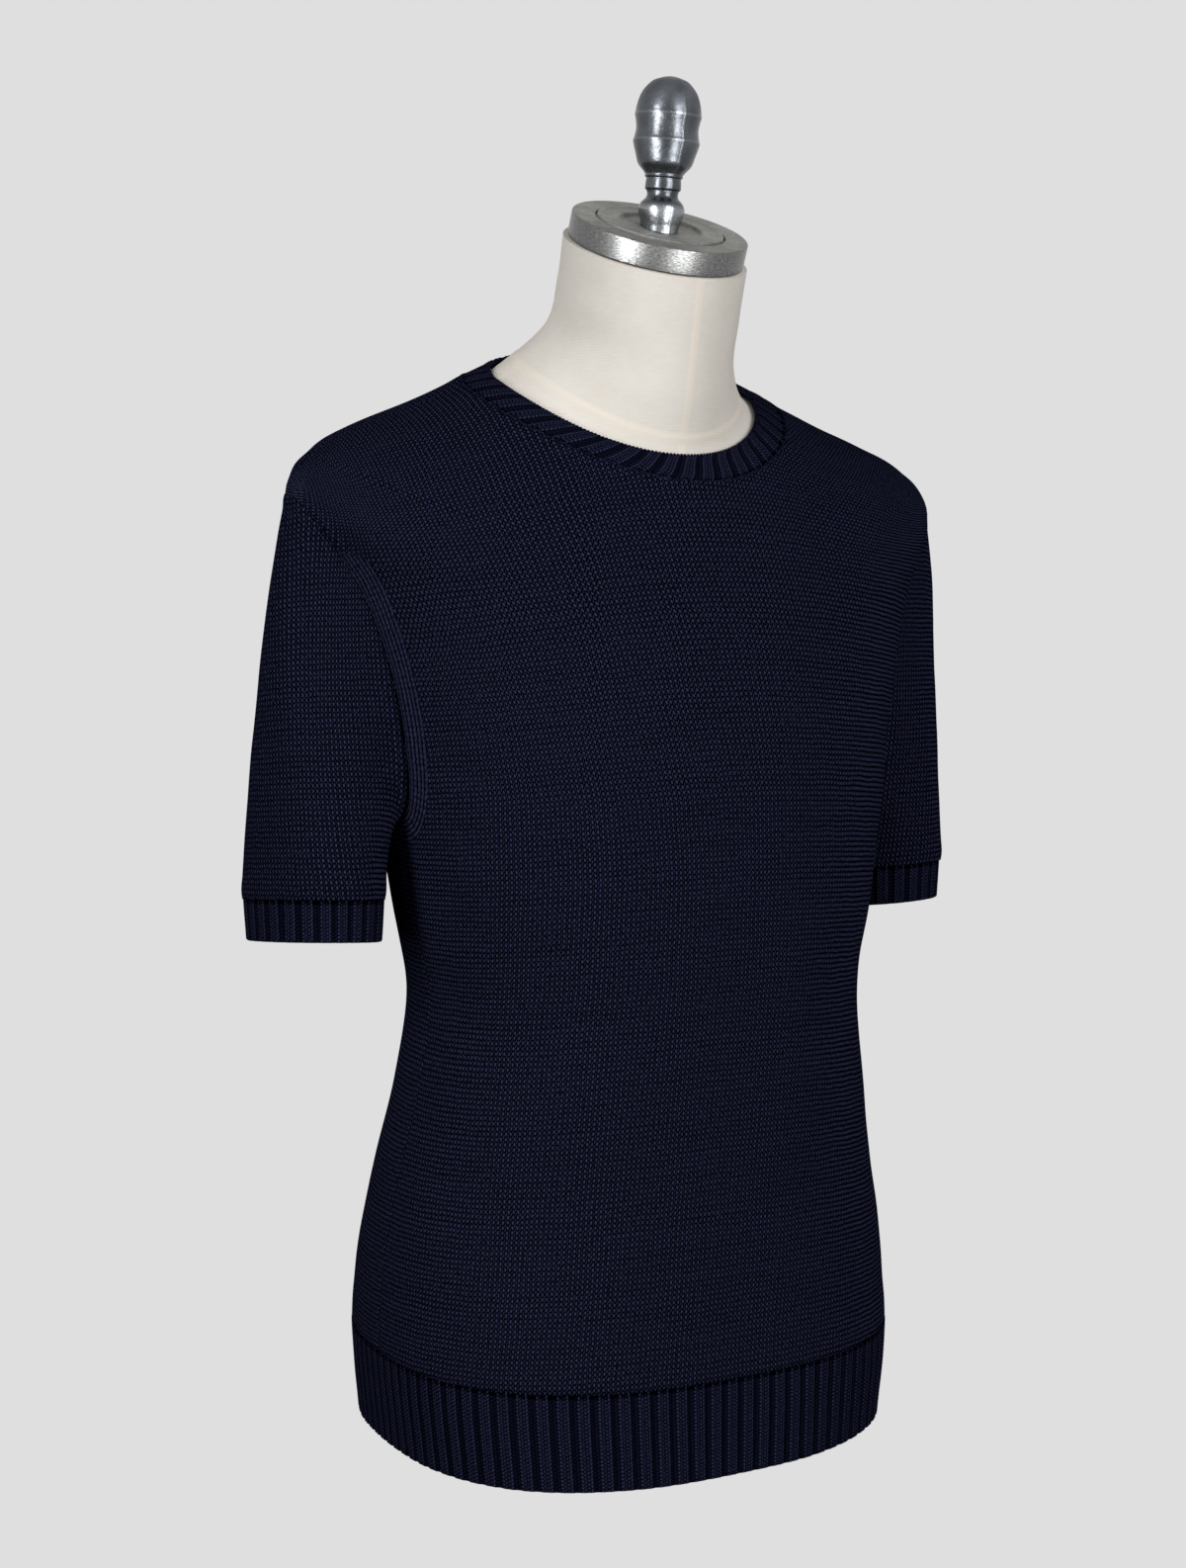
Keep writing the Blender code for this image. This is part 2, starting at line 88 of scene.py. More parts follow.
RING_COLUMNS = (
    "side_x", "side_y", "side_z", "front_y", "front_z", "back_y", "back_z", "square", "pinch", "room",
)
BODY = {
    "hem": (0.1615, 0.000, 0.0105, -0.1325, 0.0021, 0.1325, 0.0189, 2.50, 0.00, 0.0045),
    "rib_top": (0.1675, -0.001, 0.0705, -0.1320, 0.0625, 0.1300, 0.0785, 2.50, 0.00, 0.0045),
    "hip": (0.1660, -0.003, 0.1250, -0.1300, 0.1190, 0.1240, 0.1310, 2.40, 0.00, 0.0045),
    "low_waist": (0.1570, -0.007, 0.1800, -0.1280, 0.1770, 0.1130, 0.1830, 2.35, 0.00, 0.0045),
    "waist": (0.1465, -0.014, 0.2350, -0.1290, 0.2350, 0.1010, 0.2350, 2.35, 0.00, 0.0045),
    "high_waist": (0.1405, -0.018, 0.2900, -0.1310, 0.2900, 0.0960, 0.2900, 2.30, 0.00, 0.0045),
    "under_chest": (0.1500, -0.018, 0.3450, -0.1330, 0.3420, 0.0980, 0.3450, 2.30, 0.00, 0.0045),
    "armpit": (0.1610, -0.016, 0.4000, -0.1350, 0.3930, 0.1010, 0.4000, 2.25, 0.00, 0.0040),
    "chest": (0.1700, -0.015, 0.4500, -0.1350, 0.4380, 0.1030, 0.4500, 2.20, 0.04, 0.0040),
    "arm": (0.1820, -0.015, 0.5020, -0.1315, 0.4790, 0.1020, 0.5010, 2.18, 0.10, 0.0030),
    "high_arm": (0.2005, -0.012, 0.5550, -0.1250, 0.5180, 0.0985, 0.5500, 2.12, 0.18, 0.0024),
    "tip": (0.2272, -0.007, 0.6025, -0.1175, 0.5490, 0.0930, 0.5920, 2.04, 0.26, 0.0020),
    "tip_top": (0.2124, -0.003, 0.6240, -0.1120, 0.5665, 0.0880, 0.6115, 2.02, 0.28, 0.0018),
    "ridge": (0.1878, 0.001, 0.6373, -0.1060, 0.5820, 0.0830, 0.6285, 2.00, 0.26, 0.0015),
    "shoulder": (0.1490, 0.005, 0.6525, -0.0990, 0.5970, 0.0755, 0.6465, 2.00, 0.18, 0.0012),
    "band_seam": (0.1030, 0.004, 0.6700, -0.0910, 0.6110, 0.0650, 0.6705, 2.00, 0.08, 0.0012),
    "neckline": (0.0820, 0.000, 0.6790, -0.0760, 0.6290, 0.0510, 0.6930, 2.00, 0.00, 0.0012),
    "neck_base": (0.0605, -0.021, 0.7030, -0.0840, 0.6660, 0.0290, 0.7190, 2.00, 0.00, 0.0007),
    "neck": (0.0578, -0.034, 0.7290, -0.0910, 0.7000, 0.0200, 0.7500, 2.00, 0.00, 0.0007),
    "plate": (0.0587, -0.043, 0.7560, -0.0970, 0.7330, 0.0110, 0.7790, 2.00, 0.00, 0.0007),
}
LEVEL = {name: float(index) for index, name in enumerate(BODY)}

# The armholes and sleeves, as in the solids.

ARMPIT = 7.2  # level of the armhole's lowest point
FRONT_SCOOP = math.radians(13.5)
BACK_SCOOP = math.radians(15)
SCOOP_FULLNESS = 0.45
CUFF_X, CUFF_Y, CUFF_Z = 0.2105, 0.0148, 0.3353
CUFF_WIDTH, CUFF_DEPTH, CUFF_SQUARE = 0.0355, 0.0582, 2.2
CUFF_FLARE = 0.0015
CUFF_DROP, CUFF_TILT = 0.0065, 0.11  # the sleeves hang a little lower behind
CUFF_TILT_ASIDE, CUFF_TILT_BEHIND = -0.5, 0.87
SLEEVE_FULLNESS = 0.0012
SLEEVE_SPRING, SLEEVE_HANG = 0.55, 0.75
SPRING_TOP, SPRING_UNDER, SPRING_BLEND = 2.3, 0.3, 1.5

NORMAL_STEP = 0.02  # radians and levels over which a direction on the form is taken

DOWN = np.array((0.0, 0.0, -1.0))

# Rows and columns of the cloth.

SIDE_ROWS = 112  # from the hem rib to the armpit
ARMHOLE_ROWS = 84  # along each half of an armhole
ARMHOLE_EASE = 0.4  # above 0, they are further apart at the shoulder and the armpit
SHOULDER_ROWS = 40
ACROSS = 180
SLEEVE_ROWS = 118
SLEEVE_ROWS_CLOSER = 1.35  # above 1, they are closer together near the armhole
RIB_STEPS = 12  # columns to a rib
HEM_ROWS = 16
CUFF_ROWS = 9
NECK_ROWS = 10
RIM = 0.0014  # rounding of the free edges
RIM_STEPS, RIM_TURN = 3, 78  # rows, and degrees
SLEEVE_CORE_SHIFT = 0.020  # the wales of the sleeve head turn about a line this much nearer the body

# How the wales run over the body.

WALE_WANDER = (  # height, and how far the wales have wandered to the left, seen from outside, in millimetres
    (70, 0), (125, -6), (215, -14), (305, -21), (370, -22), (420, -20), (460, -14),
    (485, -10), (510, -6), (530, -1), (555, 5), (580, 9), (600, 11), (660, 12),
)
BACK_WANDER = 0.6  # of that, on the back
CHEST_WALE = 0.0034  # a wale's width at the middle of the chest
WALE_CLOSER = 0.027  # and the metres that it narrows by for each square metre aside
WALE_FAN = 0.030  # how far they fan out to the shoulder tips
FANNED_FROM, FANNED_TO = 0.080, 0.200  # between these distances from the middle
FAN_FOOT, FAN_TOP = 0.440, 0.605  # and these heights
STRAIGHT_FROM, STRAIGHT_TO = 6.5, 9.5  # levels between which the wales take their lines over the chest
COURSE_DROOP = 0.5  # metres, for each square metre aside

# The neckband, in levels: how much higher it stands behind, and how much lower its seam and its edge lie
# at the sides and in front.

NECK_HIGHER = 0.30
SEAM_SIDES, SEAM_FRONT = 0.20, 0.17
EDGE_SIDES, EDGE_FRONT = 0.50, 0.10
NECK_RELIEF = 0.6  # its ribs are pulled flatter

# Reliefs along the seams: how far the cloth stands out, how far from the seam, and its reach either way.

EDGE_FADE = 0.005  # creases fade out this near an armhole
HEM_JOIN = 0.009  # over this height the cloth comes out to the thicker rib
HEM_PUFF = (0.0006, 0.014, 0.010)
NECK_STAND, NECK_JOIN = 0.0004, 0.22  # and under the neckband, over these levels
BODY_EDGE_DIP = (-0.0009, 0, 0.0020)
BODY_EDGE_PUFF = (0.0006, 0.0055, 0.0030)
SIDE_SEAM_DIP = (-0.0007, 0, 0.0018)
SLEEVE_EDGE_DIP = (-0.0008, 0, 0.0022)
SLEEVE_EDGE_PUFF = (0.0008, 0.006, 0.004)
CUFF_PUFF = (0.0004, 0.007, 0.006)
CUFF_DIP = (-0.0004, 0, 0.0025)
TIP_LEVELS = 0.9  # how far down and up the shoulder tip is rounded off
TIP_FILL = 0.0013  # the seam stands this much further out there
TIP_DROP = (0.0011, 0.013, 0.007)  # and the cloth above it further in
HEAD_DENT = 0.0018  # how deep the seam lies in front, just below the shoulder tip
DENT_BELOW, DENT_REACH = 0.45, 0.25  # levels
DENT_WIDTH = 0.0026
SINK_LEVELS = 1.6  # over these, further down, the armhole's seam sinks in
HEAD_FULLNESS = (0.0008, 0.004, 0.005)  # the sleeve head stands out beside the seam
SEAM_ALLOWANCE = ((0.0012, 0.0010), (0.0030, 0.0018))  # how far back behind the body's edge, and how deep
THIN_ALLOWANCE = 0.7  # of the cloth's thickness

# How the stitches are drawn.

FASHIONED_WALES = 6.0  # wales that run along the armhole
UNFASHIONED = 50.0  # a number of wales past those, for cloth that has none
# How far the courses are drawn as plain rows, with painted shade between them: on the left side, on the
# right, and round the shoulder tips.
ROWS_SHOW = 0.58
RIGHT_ROWS_SHOW = 0.28
TIP_ROWS_SHOW, TIP_ROWS_REACH = 0.9, 0.016
DRIFT_ACROSS, DRIFT_UP, RIB_DRIFT_UP = 0.45, 0.6, 0.5  # wales and courses that stitches drift by
SLEEVE_TWIST = -0.14  # wales that lean with the sleeve's outer edge
# Painted shade: how light each stitch's right leg is coloured against its left, on the sleeves, and low and
# high on the body.
SLEEVE_RIGHT_LEG_PAINTED_LIGHT = 0.64
RIGHT_LEG_PAINTED_LIGHT_LOW, RIGHT_LEG_PAINTED_LIGHT_HIGH = 0.72, 0.66
LEGS_TURN_FROM, LEGS_TURN_TO = 0.38, 0.56  # heights
NECK_SKEW = 1.0  # ribs that the neckband is pulled round by, in front

# Creases: the points that each one follows, in millimetres, its half width and how far it stands out or in.

BODY_CREASES = (
    (((-176, -52, 470), (-158, -72, 440), (-128, -96, 424)), 12, -1.1),
    (((-172, -50, 440), (-155, -70, 405), (-120, -100, 380)), 13, -1.0),
    (((-164, -46, 394), (-150, -62, 350), (-122, -92, 318)), 14, -0.9),
    (((-186, -50, 520), (-168, -74, 508), (-138, -98, 512)), 9, -0.8),
    (((176, -50, 480), (160, -74, 452), (130, -100, 440)), 12, -1.1),
    (((170, -48, 430), (150, -72, 396), (118, -104, 372)), 13, -1.0),
    (((158, -46, 360), (140, -70, 320), (104, -102, 300)), 15, -0.9),
    (((-143, -30, 300), (-132, -70, 262), (-96, -104, 244)), 14, -0.8),
    (((141, -30, 290), (130, -70, 256), (92, -108, 232)), 15, -0.8),
    (((-60, -140, 300), (0, -144, 286), (52, -142, 296)), 18, -0.5),
    (((-172, 48, 470), (-150, 80, 432), (-116, 98, 410)), 12, -1.2),
    (((172, 46, 462), (152, 80, 428), (112, 100, 402)), 12, -1.1),
    (((-160, 40, 390), (-134, 74, 346), (-90, 92, 320)), 14, -1.0),
    (((158, 42, 384), (132, 74, 342), (84, 94, 316)), 15, -1.0),
    (((-120, 84, 262), (-50, 100, 240), (30, 104, 246)), 16, -0.8),
    (((130, 70, 240), (78, 96, 222), (20, 106, 228)), 15, -0.7),
)
RIGHT_SLEEVE_CREASES = (
    (((-222, -8, 597), (-222, -21, 590), (-221, -38, 581)), 5, -3.4),
    (((-236, -14, 592), (-237, -18, 560), (-236, -28, 520), (-233, -34, 450)), 8, -2.4),
    (((-228, -32, 580), (-226, -37, 530), (-222, -42, 450)), 8, 2.2),
    (((-208, -38, 545), (-202, -41, 500), (-192, -43, 446)), 11, -1.3),
    (((-180, -42, 462), (-200, -44, 424), (-226, -36, 388)), 9, -1.0),
    (((-244, 20, 470), (-238, -16, 430), (-222, -38, 404)), 11, -0.9),
    (((-244, 34, 520), (-246, 44, 470), (-242, 52, 410)), 10, -1.2),
    (((-222, 52, 560), (-224, 62, 500), (-220, 70, 430)), 9, -1.2),
    (((-190, 50, 500), (-206, 66, 446), (-226, 70, 396)), 10, -1.0),
)
LEFT_SLEEVE_CREASES = (
    (((236, -12, 560), (238, -24, 480), (238, -27, 427), (232, -32, 380)), 4, -1.4),
    (((240, 2, 520), (243, -8, 470), (243, -12, 410)), 9, 1.2),
    (((226, -30, 560), (224, -38, 490), (218, -44, 430)), 9, 0.9),
    (((196, -42, 500), (206, -45, 450), (214, -46, 372)), 9, -1.2),
    (((186, -40, 440), (196, -43, 410), (208, -45, 380)), 8, -0.8),
    (((240, 44, 540), (245, 50, 480), (243, 56, 410)), 10, -1.2),
    (((214, 54, 560), (220, 66, 500), (216, 72, 430)), 9, -1.2),
    (((186, 48, 500), (204, 66, 450), (224, 70, 400)), 10, -1.0),
)

# Colours, as sRGB.

# Of the navy, NAVY_YARN is the yarn's own colour, NAVY_GAP painted shade in the gaps between stitches, and
# NAVY_LIT a painted highlight on the stitches' crowns.
NAVY_YARN = "#121425"
NAVY_LIT = "#2f334a"
NAVY_GAP = "#020205"
NAVY_SHEEN = "#5a6078"
CALICO = "#d8d3cb"
CALICO_SHADE = "#cfc9c0"
CALICO_SEAM = "#e3d7c7"
CAST_METAL = "#949490"
CAST_METAL_DARK = "#6a6966"
TURNED_METAL = "#43464a"
# A painted highlight for the finial's foot and ridges:
PAINTED_HIGHLIGHT_METAL = "#94989c"
TUMBLED_METAL = "#5f6267"
TUMBLED_METAL_DARK = "#484b4f"
SWEEP = "#dfdfdf"

# The form, its cap and its finial.

THREADS = 180.0  # the calico's threads lie pi / 10 / THREADS metres apart, which is 1.7 mm
FORM_AROUND = 160
BASE_ROUNDING = 0.022
BASE_STEPS = 8
COLLAR_SEAM = 16.27  # level of the seam round the base of the neck
COLLAR_LEVEL = 0.038  # metres to a level there
SEAM_STAND, SEAM_HALF = 0.00025, 0.0022  # how far the cover stands out over a seam, and half its width
SEAM_BESIDE = (0.0002, 0.0033, 0.0008)  # how deep it dips beside it, how far from it, and its reach
CAP_RADIUS = 0.056
CAP_HEIGHT = 0.0168
CAP_EDGE = 0.0012
CAP_STEP_RADIUS, CAP_STEP, CAP_GROOVE = 0.0400, 0.0010, 0.0018
CAP_RECESS_RADIUS, CAP_RECESS = 0.0260, 0.0028
FINIAL_TILT = math.radians(5.5)
FINIAL_LEAN = math.radians(1.6)
FINIAL_STEPS = 4  # rows between two of these
FINIAL = {
    "foot": (0.0116, 0.0000),
    "foot_side": (0.0128, 0.0040),
    "foot_middle": (0.0141, 0.0085),
    "foot_shoulder": (0.0145, 0.0115),
    "foot_top": (0.0132, 0.0150),
    "waist": (0.0104, 0.0180),
    "waist_middle": (0.0097, 0.0203),
    "waist_top": (0.0102, 0.0226),
    "collar_low": (0.0112, 0.0238),
    "collar": (0.0112, 0.0262),
    "collar_top": (0.0110, 0.0290),
    "bead_groove": (0.0109, 0.0300),
    "bead": (0.0120, 0.0312),
    "bead_over": (0.0118, 0.0324),
    "taper": (0.0138, 0.0350),
    "taper_middle": (0.0161, 0.0375),
    "body_low": (0.0174, 0.0400),
    "body": (0.0188, 0.0448),
    "lower_under": (0.0201, 0.0490),
    "lower_ridge": (0.0208, 0.0522),
    "lower_over": (0.0202, 0.0546),
    "groove": (0.0194, 0.0598),
    "upper_under": (0.0201, 0.0652),
    "upper_ridge": (0.0208, 0.0680),
    "upper_over": (0.0205, 0.0702),
    "dome": (0.0200, 0.0735),
    "dome_shoulder": (0.0185, 0.0790),
    "dome_top": (0.0161, 0.0838),
    "crown_side": (0.0115, 0.0887),
    "crown": (0.0075, 0.0906),
}
FINIAL_HEIGHT = 0.0920
PARTING_LINE, PARTING_HALF = 0.00035, 0.00035  # how far it stands out, and half its width

# Materials. The kinds of node that come up often:

MATH = "ShaderNodeMath"
VECTOR_MATH = "ShaderNodeVectorMath"
NOISE = "ShaderNodeTexNoise"
WAVES = "ShaderNodeTexWave"
MIX = "ShaderNodeMix"
MAP_RANGE = "ShaderNodeMapRange"
BUMP = "ShaderNodeBump"
SPLIT = "ShaderNodeSeparateXYZ"
JOIN = "ShaderNodeCombineXYZ"
UV_MAP = "ShaderNodeUVMap"
COORDINATES = "ShaderNodeTexCoord"
ATTRIBUTE = "ShaderNodeAttribute"
NAMED_ATTRIBUTE = "GeometryNodeInputNamedAttribute"


def linear(colour):
    """A colour written as sRGB hex, as a shader takes it."""
    channels = [int(colour[place : place + 2], 16) / 255 for place in (1, 3, 5)]
    return tuple(c / 12.92 if c <= 0.04045 else ((c + 0.055) / 1.055) ** 2.4 for c in channels)


def feed(made, inputs):
    """Gives a node's inputs, by name or place, a value or another node's output."""
    for key, value in inputs.items():
        if isinstance(value, bpy.types.Node):
            value = value.outputs[0]
        if isinstance(value, bpy.types.NodeSocket):
            made.id_data.links.new(value, made.inputs[key])
        else:
            made.inputs[key].default_value = value


def add_node(tree, kind, *inputs, **settings):
    """Adds a node: its inputs in order, or in one dict by name or place, and then its properties."""
    made = tree.nodes.new(kind)
    for key, value in settings.items():
        setattr(made, key, value)
    feed(made, inputs[0] if inputs and isinstance(inputs[0], dict) else dict(enumerate(inputs)))
    return made


def new_material(name, **sockets):
    """A material, add_node for its tree, and its shader, with these values on the shader's own sockets."""
    made = bpy.data.materials.new(name)
    made.use_nodes = True
    shader = made.node_tree.nodes["Principled BSDF"]
    labels = [key.replace("_", " ").title().replace("Ior", "IOR") for key in sockets]
    feed(shader, dict(zip(labels, sockets.values())))
    return made, partial(add_node, made.node_tree), shader


def cotton(name, roughness):
    """Navy cotton yarn: matt, with a faint bloom of fibres."""
    return new_material(
        name, roughness=roughness, specular_ior_level=0.0, sheen_weight=0.006, sheen_roughness=0.5,
        sheen_tint=(*linear(NAVY_SHEEN), 1),
    )


def ramp(node, factor, stops):
    """A colour ramp through these stops: place and sRGB colour."""
    made = node("ShaderNodeValToRGB", {"Fac": factor})
    points = made.color_ramp.elements
    for point, (place, colour) in zip(points, (stops[0], stops[-1])):
        point.position = place
        point.color = (*linear(colour), 1)
    for place, colour in stops[1:-1]:
        points.new(place).color = (*linear(colour), 1)
    return made


def stitch_relief(node, across, up):
    """The two leaning legs of each stitch, from places in wales and courses: height, and which leg it is."""
    part = node(MATH, across, operation="FRACT")
    centred = node(MATH, part, 0.5, operation="SUBTRACT")
    aside = node(MATH, centred, operation="ABSOLUTE")
    left = node(MATH, part, 0.5, operation="LESS_THAN")
    rise = node(MATH, left, LEFT_RISE - RIGHT_RISE, RIGHT_RISE, operation="MULTIPLY_ADD")
    lean = node(MATH, aside, rise, operation="MULTIPLY")
    along = node(MATH, up, lean, operation="SUBTRACT")
    along = node(MATH, left, LEG_SHIFT, along, operation="MULTIPLY_ADD")
    leg = node(MATH, along, operation="FRACT")
    # 1 at the middle of a leg's thickness, and 0 at the gap beside it
    off = node(MATH, leg, 2.0, -1.0, operation="MULTIPLY_ADD")
    off = node(MATH, node(MATH, off, operation="ABSOLUTE"), 2.0, operation="POWER")
    crown = node(MATH, 1.0, off, operation="SUBTRACT")
    # 1 at the middle of its length, less where it dips under the next one
    ends = node(MATH, aside, 4.0, -1.0, operation="MULTIPLY_ADD")
    ends = node(MATH, node(MATH, ends, operation="ABSOLUTE"), 3.0, operation="POWER")
    dip = node(MATH, ends, -0.9, 1.0, operation="MULTIPLY_ADD")
    height = node(MATH, crown, dip, operation="MULTIPLY")
    return height, left


def place_on_cloth(node):
    """Wales across and courses up: along the armhole in its fashioned wales, and else up the piece."""
    plain = node(SPLIT, node(UV_MAP, uv_map="stitches"))
    fashioned = node(SPLIT, node(UV_MAP, uv_map="fashioned"))
    beside = node(MATH, fashioned.outputs[0], FASHIONED_WALES, operation="LESS_THAN")
    across = node(MIX, {0: beside, 2: plain.outputs[0], 3: fashioned.outputs[0]})
    up = node(MIX, {0: beside, 2: plain.outputs[1], 3: fashioned.outputs[1]})
    return across, up, beside


def uneven_yarn(node, across, up):
    """Slow drifts of the stitches from their rows, and how lit the yarn is by bands and stitch by stitch."""
    flat = node(JOIN, across, up, 0.0)
    wander = node(NOISE, {"Vector": flat, "Scale": 0.21, "Detail": 2.0})
    drift = node(SPLIT, wander.outputs[1])
    rows = node(VECTOR_MATH, flat, (0.035, 0.75, 1.0), operation="MULTIPLY")
    bands = node(NOISE, {"Vector": rows, "Scale": 1.0, "Detail": 2.0})
    single = node(NOISE, {"Vector": flat, "Scale": 1.3, "Detail": 1.0})
    return drift, bands, single


def ridged(node, place):
    """Painted light along the middle of each wale or course, and painted shade at the line between two."""
    part = node(MATH, place, operation="FRACT")
    part = node(MATH, part, 2.0, -1.0, operation="MULTIPLY_ADD")
    part = node(MATH, part, part, operation="MULTIPLY")
    return node(MATH, part, -0.95, 0.88, operation="MULTIPLY_ADD")


def shifted(node, place, drift, much):
    """A place moved by up to half of this much either way."""
    off = node(MATH, drift, much, -much / 2, operation="MULTIPLY_ADD")
    return node(MATH, place, off, operation="ADD")


def knit_material():
    """Stocking stitch in thick matt cotton: columns of short slanting strokes, with painted shade, black, in
    the gaps.
    """
    made, node, shader = cotton("heavy_cotton_stocking_stitch", 0.82)
    across, up, beside = place_on_cloth(node)
    column = ridged(node, across)
    drift, bands, single = uneven_yarn(node, across, up)
    across = shifted(node, across, drift.outputs[0], DRIFT_ACROSS)
    up = shifted(node, up, drift.outputs[1], DRIFT_UP)
    height, left = stitch_relief(node, across, up)
    # Painted light: the left legs are coloured as if they catch the light, and the right legs as if they
    # catch less of it, least high on the body and on the sleeves.
    legs = node(SPLIT, node(UV_MAP, uv_map="legs"))
    darker = node(MATH, 1.0, legs.outputs[0], operation="SUBTRACT")
    side = node(MATH, left, darker, legs.outputs[0], operation="MULTIPLY_ADD")
    body = node(MATH, height, side, operation="MULTIPLY")
    # Towards the sides the courses are drawn as rows, with painted shade, dark lines, between them.
    row = ridged(node, up)
    body = node(MIX, {0: legs.outputs[1], 2: body, 3: row})
    # The fashioned wales are pulled tight, and show as cords along the armhole, with painted light along each
    # and painted shade between.
    tight = node(MATH, beside, 0.65, operation="MULTIPLY")
    body = node(MIX, {0: tight, 2: body, 3: column})
    mixed = node(MATH, bands, 0.12, -0.06, operation="MULTIPLY_ADD")
    mixed = node(MATH, single, 0.5, mixed, operation="MULTIPLY_ADD")
    lit = node(MATH, mixed, -0.25, operation="ADD")
    lit = node(MATH, body, lit, operation="ADD")
    # Painted shade and highlight: the stitches' relief is coloured black in the gaps and light on the crowns.
    colour = ramp(node, lit, ((0.28, NAVY_GAP), (0.52, NAVY_YARN), (0.90, NAVY_LIT)))
    feed(shader, {"Base Color": colour})
    bump = node(BUMP, {"Height": body, "Distance": 0.0006, "Strength": 0.6})
    feed(shader, {"Normal": bump})
    return made


def rib_material():
    """Two-by-two rib in the same yarn: fine strokes on the raised pairs, painted highlights along them, and
    painted shade in the furrows.
    """
    made, node, shader = cotton("heavy_cotton_two_by_two_rib", 0.84)
    place = node(SPLIT, node(UV_MAP, uv_map="stitches"))
    across, up = place.outputs[0], place.outputs[1]
    drift, bands, single = uneven_yarn(node, across, up)
    up = shifted(node, up, drift.outputs[1], RIB_DRIFT_UP)
    height, left = stitch_relief(node, across, up)
    part = node(MATH, across, 1 / RIB_WALES, operation="MULTIPLY")
    part = node(MATH, part, operation="FRACT")
    # Painted light across each rib: the white lines are painted highlights along the raised wales, and the
    # grey of the furrow is painted shade.
    furrow = ramp(node, part, (
        (0.0, "#b4b4b4"), (0.07, "#d4d4d4"), (0.13, "#ffffff"), (0.20, "#cccccc"),
        (0.34, "#d4d4d4"), (0.47, "#cccccc"), (0.54, "#ffffff"), (0.61, "#d4d4d4"),
        (0.68, "#909090"), (0.84, "#909090"), (1.0, "#b0b0b0"),
    ))
    # Painted shade: a black hole at the top of each furrow, where the plain knit begins.
    hole = node(MATH, place.outputs[1], 1.2, 1.7, operation="MULTIPLY_ADD")
    hole = node("ShaderNodeClamp", {"Value": hole})
    low = node(MATH, 1.0, furrow, operation="SUBTRACT")
    hole = node(MATH, hole, low, operation="MULTIPLY")
    mixed = node(MATH, single, 0.5, -0.25, operation="MULTIPLY_ADD")
    lit = node(MATH, height, 0.9, mixed, operation="MULTIPLY_ADD")
    lit = node(MATH, lit, furrow, operation="MULTIPLY")
    lit = node(MATH, lit, hole, operation="SUBTRACT")
    # Painted shade in the gaps and painted highlight on the crowns of the stitches, as in the stocking
    # stitch.
    colour = ramp(node, lit, ((0.0, NAVY_GAP), (0.33, NAVY_YARN), (0.80, NAVY_LIT)))
    feed(shader, {"Base Color": colour})
    bump = node(BUMP, {"Height": height, "Distance": 0.0006, "Strength": 0.7})
    feed(shader, {"Normal": bump})
    return made


def yarn_material():
    """The same cotton yarn in single loops: two plies twisted, soft and matt."""
    made, node, shader = cotton("cotton_yarn_loops", 0.84)
    spot = node(COORDINATES).outputs["Object"]
    fibres = node(NOISE, {"Vector": spot, "Scale": 900.0, "Detail": 2.0})
    colour = ramp(node, fibres, ((0.3, NAVY_GAP), (0.5, NAVY_YARN), (0.75, NAVY_LIT)))
    feed(shader, {"Base Color": colour})
    bump = node(BUMP, {"Height": fibres, "Distance": 0.0004, "Strength": 0.6})
    feed(shader, {"Normal": bump})
    return made


def calico_material():
    """Unbleached calico pulled smooth: a fine plain weave, faint slubs, and warmer bands at its seams."""
    made, node, shader = new_material(
        "unbleached_calico", roughness=0.86, specular_ior_level=0.25, sheen_weight=0.05,
    )
    spot = node(COORDINATES).outputs["Object"]
    place = node(SPLIT, spot)
    # Threads 0.5 mm apart, drawn 1.7 mm apart so that they show.
    threads = {"Vector": spot, "Scale": THREADS, "Distortion": 0.6, "Detail": 1.0}
    weft = node(WAVES, threads, bands_direction="Z")
    warp = node(WAVES, threads, bands_direction="X")
    weave = node(MATH, weft.outputs[1], warp.outputs[1], operation="MULTIPLY")
    long = node(VECTOR_MATH, spot, (160.0, 160.0, 900.0), operation="MULTIPLY")
    slubs = node(NOISE, {"Vector": long, "Scale": 1.0, "Detail": 2.0})
    slow = node(NOISE, {"Vector": spot, "Scale": 26.0, "Detail": 3.0})
    tone = node(MATH, slow, 0.6, operation="MULTIPLY")
    tone = node(MATH, slubs, 0.35, tone, operation="MULTIPLY_ADD")
    cloth = ramp(node, tone, ((0.30, CALICO_SHADE), (0.62, CALICO)))
    aside = node(MATH, place.outputs[0], operation="ABSOLUTE")
    middle = node(MAP_RANGE, {"Value": aside, "From Min": 0.0034, "From Max": 0.0020})
    ahead = node(MATH, place.outputs[1], -0.04, operation="LESS_THAN")
    middle = node(MATH, middle, ahead, operation="MULTIPLY")
    level = node(ATTRIBUTE, attribute_name="level").outputs["Fac"]
    off = node(MATH, level, COLLAR_SEAM, operation="SUBTRACT")
    off = node(MATH, off, operation="ABSOLUTE")
    collar = node(MAP_RANGE, {"Value": off, "From Min": 0.115, "From Max": 0.050})
    seam = node(MATH, middle, collar, operation="MAXIMUM")
    seam = node(MATH, seam, 0.42, operation="MULTIPLY")
    colour = node(MIX, {0: seam, 6: cloth, 7: (*linear(CALICO_SEAM), 1)}, data_type="RGBA")
    feed(shader, {"Base Color": colour.outputs[2]})
    relief = node(MATH, slubs, 0.5, weave, operation="MULTIPLY_ADD")
    bump = node(BUMP, {"Height": relief, "Distance": 0.0001, "Strength": 0.5})
    feed(shader, {"Normal": bump})
    return made


